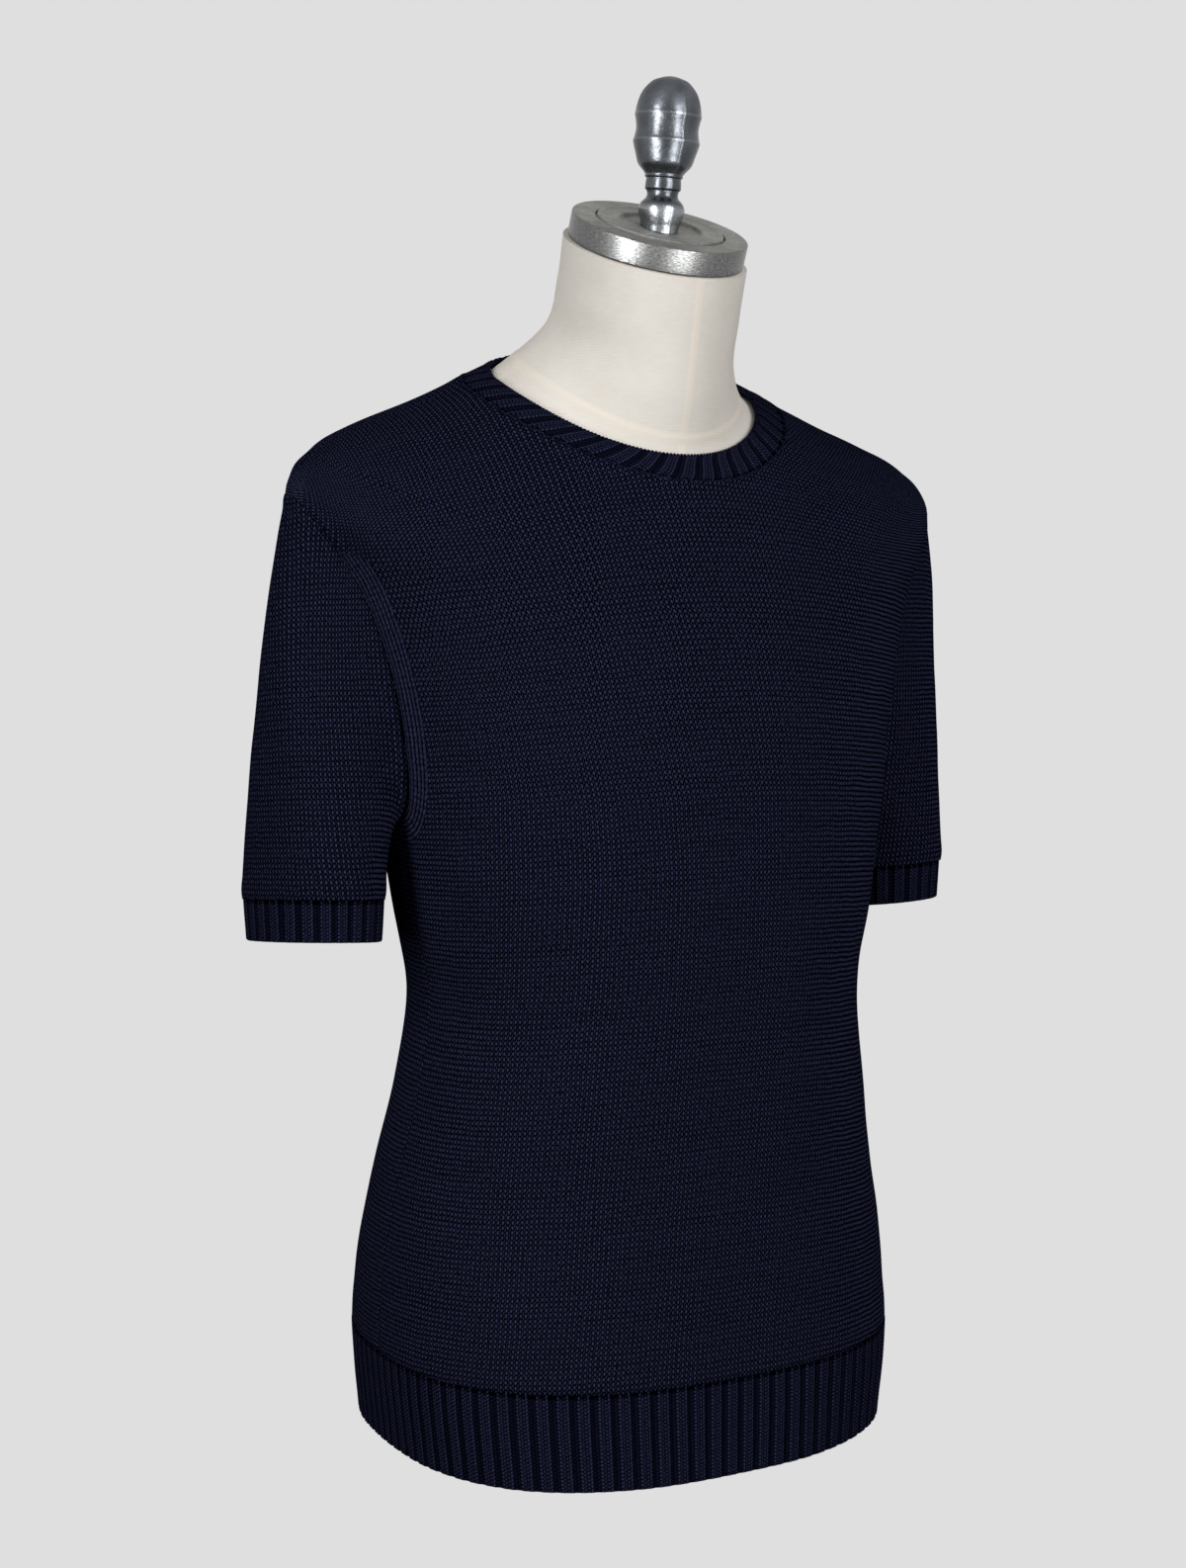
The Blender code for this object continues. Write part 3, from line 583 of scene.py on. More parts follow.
def cap_material():
    """Aluminium cast in sand, so grainy and dull on top, with its rim turned smooth and brushed round."""
    made, node, shader = new_material("sand_cast_aluminium_with_turned_rim", metallic=1.0, anisotropic=0.35)
    place = node(ATTRIBUTE, attribute_name="turned").outputs["Vector"]
    parts = node(SPLIT, place)
    flat = node(VECTOR_MATH, place, (1.0, 1.0, 0.0), operation="MULTIPLY")
    radius = node(VECTOR_MATH, flat, operation="LENGTH").outputs["Value"]
    rim = node(MAP_RANGE, {
        "Value": radius, "From Min": CAP_RADIUS - CAP_EDGE * 0.7, "From Max": CAP_RADIUS - CAP_EDGE * 0.3,
    })
    turn = node(MATH, parts.outputs[1], parts.outputs[0], operation="ARCTAN2")
    brushed = node(JOIN, turn, parts.outputs[2], 0.0)
    brushed = node(VECTOR_MATH, brushed, (22.0, 1900.0, 1.0), operation="MULTIPLY")
    lines = node(NOISE, {"Vector": brushed, "Scale": 1.0, "Detail": 3.0})
    sand = node(NOISE, {"Vector": place, "Scale": 1500.0, "Detail": 3.0})
    coarse = node(NOISE, {"Vector": place, "Scale": 420.0, "Detail": 2.0})
    stains = node(NOISE, {"Vector": place, "Scale": 70.0, "Detail": 3.0})
    grain = node(MATH, coarse, 0.6, sand, operation="MULTIPLY_ADD")
    tone = node(MATH, stains, 0.7, grain, operation="MULTIPLY_ADD")
    tone = node(MATH, tone, 0.45, operation="MULTIPLY")
    top = ramp(node, tone, ((0.38, CAST_METAL_DARK), (0.64, CAST_METAL)))
    edge = ramp(node, lines, ((0.25, CAST_METAL), (0.7, TURNED_METAL)))
    colour = node(MIX, {0: rim, 6: top, 7: edge}, data_type="RGBA")
    feed(shader, {"Base Color": colour.outputs[2]})
    dull = node(MAP_RANGE, {"Value": rim, "To Min": 0.62, "To Max": 0.30})
    streaks = node(MATH, lines, 0.22, -0.11, operation="MULTIPLY_ADD")
    rough = node(MATH, dull, streaks, operation="ADD")
    feed(shader, {"Roughness": rough})
    relief = node(MIX, {0: rim, 2: grain, 3: lines})
    bump = node(BUMP, {"Height": relief, "Distance": 0.00025, "Strength": 0.55})
    feed(shader, {"Normal": bump})
    return made


def finial_material():
    """Aluminium cast in a two-part mould and tumbled: dark satin, finely pitted, with painted highlights
    round its foot and along its ridges.
    """
    made, node, shader = new_material("tumbled_cast_aluminium", metallic=1.0)
    place = node(ATTRIBUTE, attribute_name="turned").outputs["Vector"]
    ripple = node(NOISE, {"Vector": place, "Scale": 420.0, "Detail": 4.0})
    pits = node("ShaderNodeTexVoronoi", {"Vector": place, "Scale": 620.0})
    hollow = node(MAP_RANGE, {"Value": pits, "From Min": 0.0, "From Max": 0.22})
    slow = node(NOISE, {"Vector": place, "Scale": 60.0, "Detail": 3.0})
    colour = ramp(node, slow, ((0.35, TUMBLED_METAL_DARK), (0.65, TUMBLED_METAL)))
    high = node(SPLIT, place).outputs[2]
    high = node(MATH, high, FINIAL_HEIGHT, operation="DIVIDE")
    # Painted highlights: bands of lighter metal round the foot and along both ridges, where the lights would
    # glint.
    painted_highlights = ramp(node, high, (
        (0.12, "#ffffff"), (0.16, "#000000"),
        (0.562, "#000000"), (0.573, "#a0a0a0"), (0.584, "#000000"),
        (0.734, "#000000"), (0.745, "#a0a0a0"), (0.756, "#000000"),
    ))
    colour = node(MIX, {0: painted_highlights, 6: colour, 7: (*linear(PAINTED_HIGHLIGHT_METAL), 1)}, data_type="RGBA")
    feed(shader, {"Base Color": colour.outputs[2]})
    dome = node(MAP_RANGE, {"Value": high, "From Min": 0.77, "From Max": 0.84, "To Max": 0.22})
    rough = node(MATH, ripple, 0.14, 0.20, operation="MULTIPLY_ADD")
    rough = node(MATH, rough, dome, operation="ADD")
    feed(shader, {"Roughness": rough})
    relief = node(MATH, hollow, 0.5, ripple, operation="MULTIPLY_ADD")
    bump = node(BUMP, {"Height": relief, "Distance": 0.00030, "Strength": 0.45})
    feed(shader, {"Normal": bump})
    return made


def sweep_material():
    """A white painted sweep in full even light, so bright that no shadow shows on it."""
    return new_material(
        "painted_sweep", roughness=1.0, specular_ior_level=0.0, base_color=(0, 0, 0, 1),
        emission_color=(*linear(SWEEP), 1), emission_strength=1.0,
    )[0]


def felt_material():
    """Black felt: it gives back almost nothing."""
    made, node, shader = new_material("black_felt", roughness=1.0, specular_ior_level=0.0)
    spot = node(COORDINATES).outputs["Object"]
    nap = node(NOISE, {"Vector": spot, "Scale": 300.0})
    colour = ramp(node, nap, ((0.3, "#0c0c0c"), (0.7, "#1c1c1c")))
    feed(shader, {"Base Color": colour})
    return made


# Curves and lengths.


def unit(vectors):
    return vectors / np.linalg.norm(vectors, axis=-1, keepdims=True)


def hump(place, height, middle, reach):
    """A smooth rise to this height at the middle, which has nearly run out at twice its reach."""
    return height * np.exp(-(((place - middle) / reach) ** 2))


def ramped(place, start, end):
    """From 0 at the start to 1 at the end."""
    return np.clip((place - start) / (end - start), 0, 1)


def eased(part):
    return part**2 * (3 - 2 * part)


def hermite(start, end, leaving, arriving, part):
    """A smooth curve between two points, from how it leaves the one and arrives at the other."""
    return (
        start * (1 + 2 * part) * (1 - part) ** 2
        + end * (3 - 2 * part) * part**2
        + leaving * part * (1 - part) ** 2
        - arriving * (1 - part) * part**2
    )


def through_rows(rows, level):
    """A smooth curve through a table's rows, at any level from 0 to the last one's number."""
    start = np.minimum(level.astype(int), len(rows) - 2)
    slopes = np.gradient(rows, axis=0)
    return hermite(rows[start], rows[start + 1], slopes[start], slopes[start + 1], (level - start)[..., None])


def summed(steps, axis):
    """The sum of the steps up to each point, from 0 at the first."""
    none = np.zeros_like(np.take(steps, [0], axis=axis))
    return np.concatenate((none, np.cumsum(steps, axis=axis)), axis=axis)


# The cloth's shape: the form's loft, moved out.


def interpolated(level):
    """The ring table's columns at any level, on a smooth curve through the rows."""
    rows = np.array(list(BODY.values()))
    curve = through_rows(rows, np.clip(np.asarray(level, float), 0, len(rows) - 1))
    return dict(zip(RING_COLUMNS, np.moveaxis(curve, -1, 0)))


def form_point(angle, level):
    angle, level = np.broadcast_arrays(np.asarray(angle, float), np.asarray(level, float))
    ring = interpolated(level)
    across, along = np.cos(angle), np.sin(angle)
    square = ring["square"]
    grow = (np.abs(across) ** square + np.abs(along) ** square) ** (-1 / square)
    across, along = grow * across, grow * along
    depth = np.where(along < 0, ring["side_y"] - ring["front_y"], ring["back_y"] - ring["side_y"])
    lean = (ring["back_z"] - ring["front_z"]) / 2
    bow = (ring["back_z"] + ring["front_z"]) / 2 - ring["side_z"]
    return np.stack(
        (
            ring["side_x"] * across,
            ring["side_y"] + depth * along * (1 - ring["pinch"] * np.cos(angle) ** 2),
            ring["side_z"] + lean * along + bow * along**2,
        ),
        axis=-1,
    )


def form_normal(angle, level):
    """Pointing out of the form."""
    step = NORMAL_STEP
    top = len(BODY) - 1
    low, high = np.clip(level - step, 0, top), np.clip(level + step, 0, top)
    around = form_point(angle + step, level) - form_point(angle - step, level)
    upward = form_point(angle, high) - form_point(angle, low)
    return unit(np.cross(around, upward))


def cloth_point(angle, level, wall, outside=True):
    """On the cloth over the form: on its outer or inner side."""
    angle, level = np.broadcast_arrays(np.asarray(angle, float), np.asarray(level, float))
    out = interpolated(level)["room"] + (wall if outside else 0)
    return form_point(angle, level) + form_normal(angle, level) * out[..., None]


def level_step(angle, level, distance):
    """How far a level changes over this distance up the cloth, square to the ring."""
    step = NORMAL_STEP
    run = cloth_point(angle, level + step, CLOTH) - cloth_point(angle, level, CLOTH)
    along = unit(cloth_point(angle + step, level, CLOTH) - cloth_point(angle - step, level, CLOTH))
    run -= along * np.sum(run * along, axis=-1, keepdims=True)
    return distance * step / np.linalg.norm(run, axis=-1)


def armhole_turns():
    """Where the rows cross one half of an armhole: 0 at the shoulder, half a turn at the armpit."""
    part = np.linspace(0, 1, ARMHOLE_ROWS + 1)
    return math.pi * (part + ARMHOLE_EASE * np.sin(2 * math.pi * part) / (2 * math.pi))


def armhole_level(turn):
    return ARMPIT + (LEVEL["tip"] - ARMPIT) * (1 + np.cos(turn)) / 2


def armhole_scoop(turn):
    """How far round the body the armhole reaches, forwards above 0."""
    reach = np.where(np.sin(turn) > 0, FRONT_SCOOP, -BACK_SCOOP)
    return reach * np.abs(np.sin(turn)) ** SCOOP_FULLNESS


def armhole_out():
    """The direction in which the sleeve leaves the right armhole."""
    tip, armpit = cloth_point(math.pi, np.array((LEVEL["tip"], ARMPIT)), CLOTH)
    return unit(np.cross(unit(tip - armpit), np.array((0.0, 1.0, 0.0))))


def armhole(turn):
    """The right armhole on the cloth's outer side."""
    return cloth_point(math.pi + armhole_scoop(turn), armhole_level(turn), CLOTH)


def cuff_ring(turns, height, grow=0.0):
    """A ring of the right cuff, in the sleeve's turns: 0 faces away from the body."""
    across, along = np.cos(turns), np.sin(turns)
    scale = (np.abs(across) ** CUFF_SQUARE + np.abs(along) ** CUFF_SQUARE) ** (-1 / CUFF_SQUARE)
    tilt = CUFF_WIDTH * across * CUFF_TILT_ASIDE - CUFF_DEPTH * along * CUFF_TILT_BEHIND
    return np.stack(
        (
            -CUFF_X - (CUFF_WIDTH + grow) * scale * across,
            CUFF_Y - (CUFF_DEPTH + grow) * scale * along,
            CUFF_Z + height - CUFF_DROP - CUFF_TILT * scale * tilt,
        ),
        axis=-1,
    )


# Folds, and the knit's rows and columns.


def outward_of(points):
    """The unit normal of a tube's grid, whose rows go up and whose columns go round anticlockwise."""
    around = np.roll(points, -1, axis=1) - np.roll(points, 1, axis=1)
    return unit(np.cross(around, np.gradient(points, axis=0)))


def from_line(points, line):
    """Each point's distance from a bent line, and how far along the line it is nearest."""
    nearest = np.full(points.shape[:-1], np.inf)
    along = np.zeros(points.shape[:-1])
    run = 0.0
    for start, end in zip(line, line[1:]):
        span = end - start
        length = np.linalg.norm(span)
        part = np.clip((points - start) @ span / length**2, 0, 1)
        away = np.linalg.norm(points - start - part[..., None] * span, axis=-1)
        closer = away < nearest
        nearest = np.where(closer, away, nearest)
        along = np.where(closer, run + part * length, along)
        run += length
    return nearest, along


def rounded_line(line):
    """A bent line with its corners cut twice, so that a crease along it curves."""
    for _ in range(2):
        cut = [line[0]]
        for start, end in zip(line, line[1:]):
            cut += [start * 0.75 + end * 0.25, start * 0.25 + end * 0.75]
        line = np.array([*cut, line[-1]])
    return line


def creased(points, creases):
    """How far the creases move each point out, with their ends running out to nothing."""
    moved = np.zeros(points.shape[:-1])
    for line, width, depth in creases:
        line = rounded_line(np.array(line, float) / 1000)
        away, along = from_line(points, line)
        part = along / np.linalg.norm(np.diff(line, axis=0), axis=1).sum()
        ends = np.sin(math.pi * np.clip(part, 0, 1)) ** 0.8
        moved += depth / 1000 * ends * np.exp(-((away * 1000 / width) ** 2))
    return moved


def unevenness(points):
    """The cloth's slow rise and fall, up to half a millimetre."""
    x, y, z = np.moveaxis(points, -1, 0)
    slow = np.sin(61 * x + 23 * z + 1.0) * np.sin(47 * z - 31 * y)
    quick = np.sin(137 * y + 91 * z + 0.6) * np.sin(113 * x - 67 * z + 2.1)
    return 0.00030 * slow + 0.00014 * quick


def rise_of_cloth(angle, level):
    """How far up the cloth a point is from the hem rib, along a line of stitches."""
    levels = np.linspace(LEVEL["rib_top"], LEVEL["neckline"], 301)
    angles = np.linspace(0, 2 * math.pi, 181)
    grid = cloth_point(angles[None, :], levels[:, None], CLOTH)
    rise = summed(np.linalg.norm(np.diff(grid, axis=0), axis=-1), axis=0)
    row = np.clip((level - levels[0]) / (levels[1] - levels[0]), 0, len(levels) - 1.001)
    column = np.clip(np.mod(angle, 2 * math.pi) / angles[1], 0, len(angles) - 1.001)
    low, left = row.astype(int), column.astype(int)
    row, column = row - low, column - left
    below = rise[low, left] * (1 - column) + rise[low, left + 1] * column
    above = rise[low + 1, left] * (1 - column) + rise[low + 1, left + 1] * column
    return below * (1 - row) + above * row


def lengths_along(points):
    """The length of each row up to each point."""
    return summed(np.linalg.norm(np.diff(points, axis=1), axis=-1), axis=1)


# Shells.


def finished(name, mesh, material):
    mesh.materials.clear()
    mesh.materials.append(material)
    mesh.shade_smooth()
    made = bpy.data.objects.new(name, mesh)
    bpy.context.scene.collection.objects.link(made)
    return made


def shell(name, outer, inner, maps, material, closed=False, facts=None):
    """A closed wall between two grids. Rows go up and columns anticlockwise, seen from above.

    maps are UV maps, by name, each with a value for every point of a grid, and on a tube one more column.
    facts are point attributes, by name: a pair of grids, for the outer and the inner side.
    """
    rows, columns = outer.shape[:2]
    row, column = np.meshgrid(np.arange(rows - 1), np.arange(columns - (not closed)), indexing="ij")
    row, column = row.ravel(), column.ravel()
    span, zero = np.arange(columns - (not closed)), np.zeros(columns - (not closed), int)
    corners = [
        ((row, column, 0), (row, column + 1, 0), (row + 1, column + 1, 0), (row + 1, column, 0)),
        ((row, column, 1), (row + 1, column, 1), (row + 1, column + 1, 1), (row, column + 1, 1)),
        ((zero, span, 1), (zero, span + 1, 1), (zero, span + 1, 0), (zero, span, 0)),
        tuple((zero + rows - 1, span + step, side) for step, side in ((0, 0), (1, 0), (1, 1), (0, 1))),
    ]
    if not closed:
        rise, first = np.arange(rows - 1), np.zeros(rows - 1, int)
        last = first + columns - 1
        corners.append(((rise, first, 1), (rise, first, 0), (rise + 1, first, 0), (rise + 1, first, 1)))
        corners.append(((rise, last, 0), (rise, last, 1), (rise + 1, last, 1), (rise + 1, last, 0)))
    loops = []
    for four in corners:
        ring = [np.stack((r, c, np.full_like(r, side)), axis=-1) for r, c, side in four]
        loops.append(np.stack(ring, axis=1).reshape(-1, 3))
    loops = np.concatenate(loops)
    spot = loops[:, 2] * rows * columns + loops[:, 0] * columns + loops[:, 1] % columns
    points = np.concatenate((outer.reshape(-1, 3), inner.reshape(-1, 3)))
    mesh = bpy.data.meshes.new(name)
    mesh.from_pydata(points.tolist(), [], spot.reshape(-1, 4).tolist())
    for label, values in maps.items():
        layer = mesh.uv_layers.new(name=label)
        layer.uv.foreach_set("vector", values[loops[:, 0], loops[:, 1]].astype(np.float32).ravel())
    for label, (outside, inside) in (facts or {}).items():
        values = np.concatenate((outside.reshape(rows * columns, -1), inside.reshape(rows * columns, -1)))
        kind = "FLOAT_VECTOR" if values.shape[1] == 3 else "FLOAT"
        layer = mesh.attributes.new(label, kind, "POINT")
        field = "vector" if kind == "FLOAT_VECTOR" else "value"
        layer.data.foreach_set(field, values.astype(np.float32).ravel())
    mesh.update()
    return finished(name, mesh, material)


# The front and the back.


def across_steps():
    """Places across a panel, closer together at its edges, where it dips into the seams."""
    even = np.linspace(0, 1, ACROSS + 1)
    close = np.array((0.0016, 0.0034))
    return np.concatenate((even[:1], close, even[1:-1], 1 - close[::-1], even[-1:]))


def body_panel(name, front, material):
    turns = armhole_turns()[::-1]
    below = np.linspace(LEVEL["rib_top"], ARMPIT, SIDE_ROWS + 1)[:-1]
    above = np.linspace(LEVEL["tip"], LEVEL["band_seam"], SHOULDER_ROWS + 1)[1:]
    levels = np.concatenate((below, armhole_level(turns), above))
    scoops = np.zeros_like(levels)
    scoops[len(below) : -len(above)] = np.abs(armhole_scoop(turns if front else -turns))
    start = math.pi + scoops if front else scoops
    turn = np.pi - 2 * scoops
    angles = start[:, None] + turn[:, None] * across_steps()[None, :]
    over = ramped(levels, LEVEL["tip"], LEVEL["band_seam"])
    levels = levels[:, None] + over[:, None] * (neck_seam(angles) - LEVEL["band_seam"])
    outer = cloth_point(angles, levels, CLOTH)
    outward = form_normal(angles, levels)
    rise = rise_of_cloth(angles, levels)
    along = lengths_along(outer)
    edge, edge_run = from_line(outer, armhole_line(front))
    other, other_run = from_line(outer * (-1, 1, 1), armhole_line(front))
    edge_run = np.where(other < edge, other_run, edge_run)
    edge = np.minimum(edge, other)
    side = np.minimum(along, along[:, -1:] - along)
    room = interpolated(levels)["room"]
    moved = (creased(outer, BODY_CREASES) + unevenness(outer)) * (1 - hump(edge, 1, 0, EDGE_FADE))
    moved += hump(rise, RIB_CLOTH - CLOTH, 0, HEM_JOIN)
    moved += hump(rise, *HEM_PUFF)
    under = under_tip(levels)
    moved += hump(edge, *BODY_EDGE_DIP) * under
    moved += hump(side, *SIDE_SEAM_DIP) * (edge > 0.004) * (levels < ARMPIT)
    moved += hump(edge, *BODY_EDGE_PUFF) * under
    moved += hump(neck_seam(angles) - levels, RIB_CLOTH - CLOTH + NECK_STAND, 0, NECK_JOIN)
    tip = hump(levels, 1, LEVEL["tip"], TIP_LEVELS)
    moved += hump(edge, TIP_FILL, 0, EDGE_FADE) * tip
    moved -= hump(edge, *TIP_DROP) * tip
    if front:
        moved -= hump(edge, HEAD_DENT, 0, DENT_WIDTH) * hump(levels, 1, LEVEL["tip"] - DENT_BELOW, DENT_REACH)
    moved = np.maximum(moved, 0.0004 - room - CLOTH / 2)
    inner = outer + outward * (np.maximum(moved, 0.0003 - room) - CLOTH)[..., None]
    outer = outer + outward * moved[..., None]
    stitches = body_knit(cloth_point(angles, levels, CLOTH), outward, levels, along, rise, 1 if front else -1)
    # The fashioned wales end below the shoulder tip, where this takes their number past the last one.
    ended = UNFASHIONED * ramped(levels, LEVEL["tip"] - 0.6, LEVEL["tip"] - 0.4)
    fashioned = np.stack((edge / WALE + ended, edge_run / COURSE), axis=-1)
    # Painted shade on each stitch's right leg, deeper higher up the body.
    up = ramped(outer[..., 2], LEGS_TURN_FROM, LEGS_TURN_TO)
    legs = RIGHT_LEG_PAINTED_LIGHT_LOW + (RIGHT_LEG_PAINTED_LIGHT_HIGH - RIGHT_LEG_PAINTED_LIGHT_LOW) * up
    # Painted shade: dark lines between the courses, where the cloth faces to either side.
    rows = np.maximum(rows_show(outward), RIGHT_ROWS_SHOW * ramped(-outward[..., 0], 0.75, 0.95))
    # Round the shoulder tips, where the wales close up, only the courses are drawn.
    tips = cloth_point(math.pi, LEVEL["tip"], CLOTH)
    on_right = np.concatenate((-np.abs(outer[..., :1]), outer[..., 1:]), axis=-1)
    from_tip = np.linalg.norm(on_right - tips, axis=-1)
    rows = np.maximum(rows, TIP_ROWS_SHOW * np.exp(-((from_tip / TIP_ROWS_REACH) ** 4)))
    legs = np.stack((legs, rows), axis=-1)
    maps = {"stitches": stitches, "fashioned": fashioned, "legs": legs}
    return shell(name, outer, inner, maps, material)


def body_knit(points, outward, levels, along, rise, facing):
    """Places in wales and courses.

    Below the arms a wale keeps its distance from the middle of the body, and over the chest and shoulders
    it runs straight up and back. All of them wander a little, as the knit twists.
    """
    centre = along.shape[1] // 2
    heights, wander = np.array(WALE_WANDER).T / 1000
    wander = np.interp(points[..., 2], heights, wander) * (1.0 if facing > 0 else BACK_WANDER)
    low = (along - along[:, centre, None] + wander) / WALE
    aside = points[..., 0] * facing + wander
    beside = ramped(np.abs(points[..., 0]), FANNED_FROM, FANNED_TO)
    rising = ramped(points[..., 2], FAN_FOOT, FAN_TOP)
    aside = aside - np.sign(aside) * WALE_FAN * beside * rising**2 * (3 - 2 * rising)
    high = aside / (CHEST_WALE - WALE_CLOSER * aside**2)
    part = eased(ramped(levels, STRAIGHT_FROM, STRAIGHT_TO))
    across = low * (1 - part) + high * part
    # A course runs level round the body, and straight across over the chest and shoulders. It droops at
    # the sides.
    round_body = facing * np.cross(np.array((0.0, 0.0, 1.0)), outward)
    straight = np.array((1.0, 0.0, 0.0)) - outward * outward[..., :1]
    share = (part * (1 - outward[..., 0] ** 2) ** 2)[..., None]
    level = round_body * (1 - share) + straight * share
    upward = unit(np.cross(outward, unit(level)))
    upward *= np.sign(upward[..., 2:])
    steps = np.sum(np.diff(points, axis=1) * (upward[:, 1:] + upward[:, :-1]) / 2, axis=-1)
    climb = summed(steps, axis=1)
    up = rise[:, centre, None] + climb - climb[:, centre, None]
    hang = np.clip(levels / 4.0, 0, 1) * COURSE_DROOP * points[..., 0] ** 2
    return np.stack((across, (up + hang) / COURSE), axis=-1)


def rows_show(outward):
    """How far the courses are drawn as plain rows, on cloth that faces the wearer's left.

    The light shows them so from the camera's side. The knit itself is the same all over.
    """
    return ROWS_SHOW * ramped(outward[..., 0], 0.12, 0.48)


def under_tip(levels):
    """0 at the shoulder tip, and 1 from some way under it, where the armhole's seam has sunk in fully."""
    return np.clip((LEVEL["tip"] - TIP_LEVELS - levels) / SINK_LEVELS, 0, 1)


def armhole_line(front):
    turns = armhole_turns()
    return armhole(turns if front else -turns)[::-1]


# The sleeves.


def sleeve(name, mirrored, creases, material):
    half = armhole_turns()
    turns = np.concatenate((half[:-1], 2 * math.pi - half[:0:-1]))
    away = armhole_out()
    start = armhole(turns)
    drop = SPRING_UNDER + (SPRING_TOP - SPRING_UNDER) * ((1 + np.cos(turns)) / 2) ** SPRING_BLEND
    spring = unit(away + drop[:, None] * DOWN)
    end = cuff_ring(turns, CUFF_RIB, CUFF_FLARE + SLEEVE_FULLNESS)
    length = np.linalg.norm(end - start, axis=-1, keepdims=True)
    leaving, arriving = spring * length * SLEEVE_SPRING, DOWN * length * SLEEVE_HANG
    parts = np.linspace(1, 0, SLEEVE_ROWS + 1) ** SLEEVE_ROWS_CLOSER
    outer = np.array([hermite(start, end, leaving, arriving, part) for part in parts])
    outward = outward_of(outer)
    if np.sum(outward[0] * (outer[0] - outer[0].mean(axis=0))) < 0:
        outer, outward, turns = outer[:, ::-1], -outward[:, ::-1], turns[::-1]
    rise = summed(np.linalg.norm(np.diff(outer, axis=0), axis=-1), axis=0)
    to_armhole = rise[-1:] - rise
    across, rise_of_wale = sleeve_knit(outer, outward)
    placed = outer * (-1, 1, 1) if mirrored else outer
    moved = creased(placed, creases) + unevenness(placed)
    moved *= 1 - hump(to_armhole, 1, 0, EDGE_FADE)
    level = armhole_level(turns)
    under = under_tip(level)
    moved += hump(to_armhole, *SLEEVE_EDGE_DIP) * under
    moved += hump(to_armhole, *SLEEVE_EDGE_PUFF) * under
    moved += hump(rise, *CUFF_PUFF) + hump(rise, *CUFF_DIP)
    moved += hump(to_armhole, *HEAD_FULLNESS) * (1 - under)
    # Its edge goes up and down with the body's edge.
    tip = hump(level, TIP_FILL, LEVEL["tip"], TIP_LEVELS)
    dent = hump(level, HEAD_DENT, LEVEL["tip"] - DENT_BELOW, DENT_REACH) * (np.sin(turns) > 0)
    with_body = (tip - dent)[:, None] * form_normal(math.pi + armhole_scoop(turns), level)
    near_edge = hump(to_armhole, 1, 0, EDGE_FADE)[..., None] * with_body
    seam_edge = outer[-1] + with_body
    inner = outer + outward * (moved - CLOTH)[..., None] + near_edge
    outer = outer + outward * moved[..., None] + near_edge
    # Its seam allowance turns in behind the body's edge.
    through = unit(inner[-1] - outer[-1])
    last = rise_of_wale[-1:]
    for back, deep in SEAM_ALLOWANCE:
        behind = seam_edge - away * back
        outer = np.concatenate((outer, (behind + through * deep)[None]))
        inner = np.concatenate((inner, (behind + through * (deep + CLOTH * THIN_ALLOWANCE))[None]))
        rise_of_wale = np.concatenate((rise_of_wale, last + back))
    across = np.concatenate((across, across[-1:], across[-1:]))
    across = across + SLEEVE_TWIST * rise_of_wale
    stitches = np.stack((across / WALE, rise_of_wale / COURSE), axis=-1)
    plain = np.full_like(stitches, UNFASHIONED)
    turned = np.concatenate((outward, outward[-1:], outward[-1:])) * (-1 if mirrored else 1, 1, 1)
    turned = np.concatenate((turned, turned[:, :1]), axis=1)
    # Painted shade on the right legs, and painted dark lines between the courses where the sleeve faces
    # aside, as on the body.
    legs = np.stack((np.full(stitches.shape[:2], SLEEVE_RIGHT_LEG_PAINTED_LIGHT), rows_show(turned)), axis=-1)
    if mirrored:
        outer, inner = outer[:, ::-1] * (-1, 1, 1), inner[:, ::-1] * (-1, 1, 1)
        stitches, legs = stitches[:, ::-1], legs[:, ::-1]
    maps = {"stitches": stitches, "fashioned": plain, "legs": legs}
    return shell(name, outer, inner, maps, material, closed=True)


def sleeve_knit(outer, outward):
    """How far round and how far up the right sleeve each point is, by wales that hang straight down."""
    low, high = outer[0, :, 2].mean(), outer[..., 2].max()
    part = np.clip((outer[..., 2] - low) / (high - low), 0, 1)
    core_x = -CUFF_X + SLEEVE_CORE_SHIFT * part**2
    away = np.stack((outer[..., 0] - core_x, outer[..., 1] - CUFF_Y * (1 - part)), axis=-1)
    turn = np.arctan2(away[..., 1] / CUFF_DEPTH, -away[..., 0] / CUFF_WIDTH)
    turn = np.concatenate((turn, turn[:, :1]), axis=1)
    turn = np.unwrap(turn, axis=1)
    turn -= 2 * math.pi * np.round(turn[:, :1] / (2 * math.pi))
    dense = np.linspace(-4 * math.pi, 4 * math.pi, 2881)
    ring = cuff_ring(dense, 0.0)
    arc = summed(np.linalg.norm(np.diff(ring, axis=0), axis=-1), axis=0)
    across = np.interp(turn, dense, arc - arc[len(arc) // 2])
    around = unit(np.stack((-away[..., 1], away[..., 0], np.zeros_like(part)), axis=-1))
    around = around - outward * np.sum(around * outward, axis=-1, keepdims=True)
    wale = unit(np.cross(outward, unit(around)))
    wale *= np.sign(wale[..., 2:])
    steps = np.sum(np.diff(outer, axis=0) * (wale[1:] + wale[:-1]) / 2, axis=-1)
    rise = summed(steps, axis=0)
    return across, np.concatenate((rise, rise[:, :1]), axis=1)


# The ribs. Each is a smooth wall first, and rib_tree() presses its furrows.


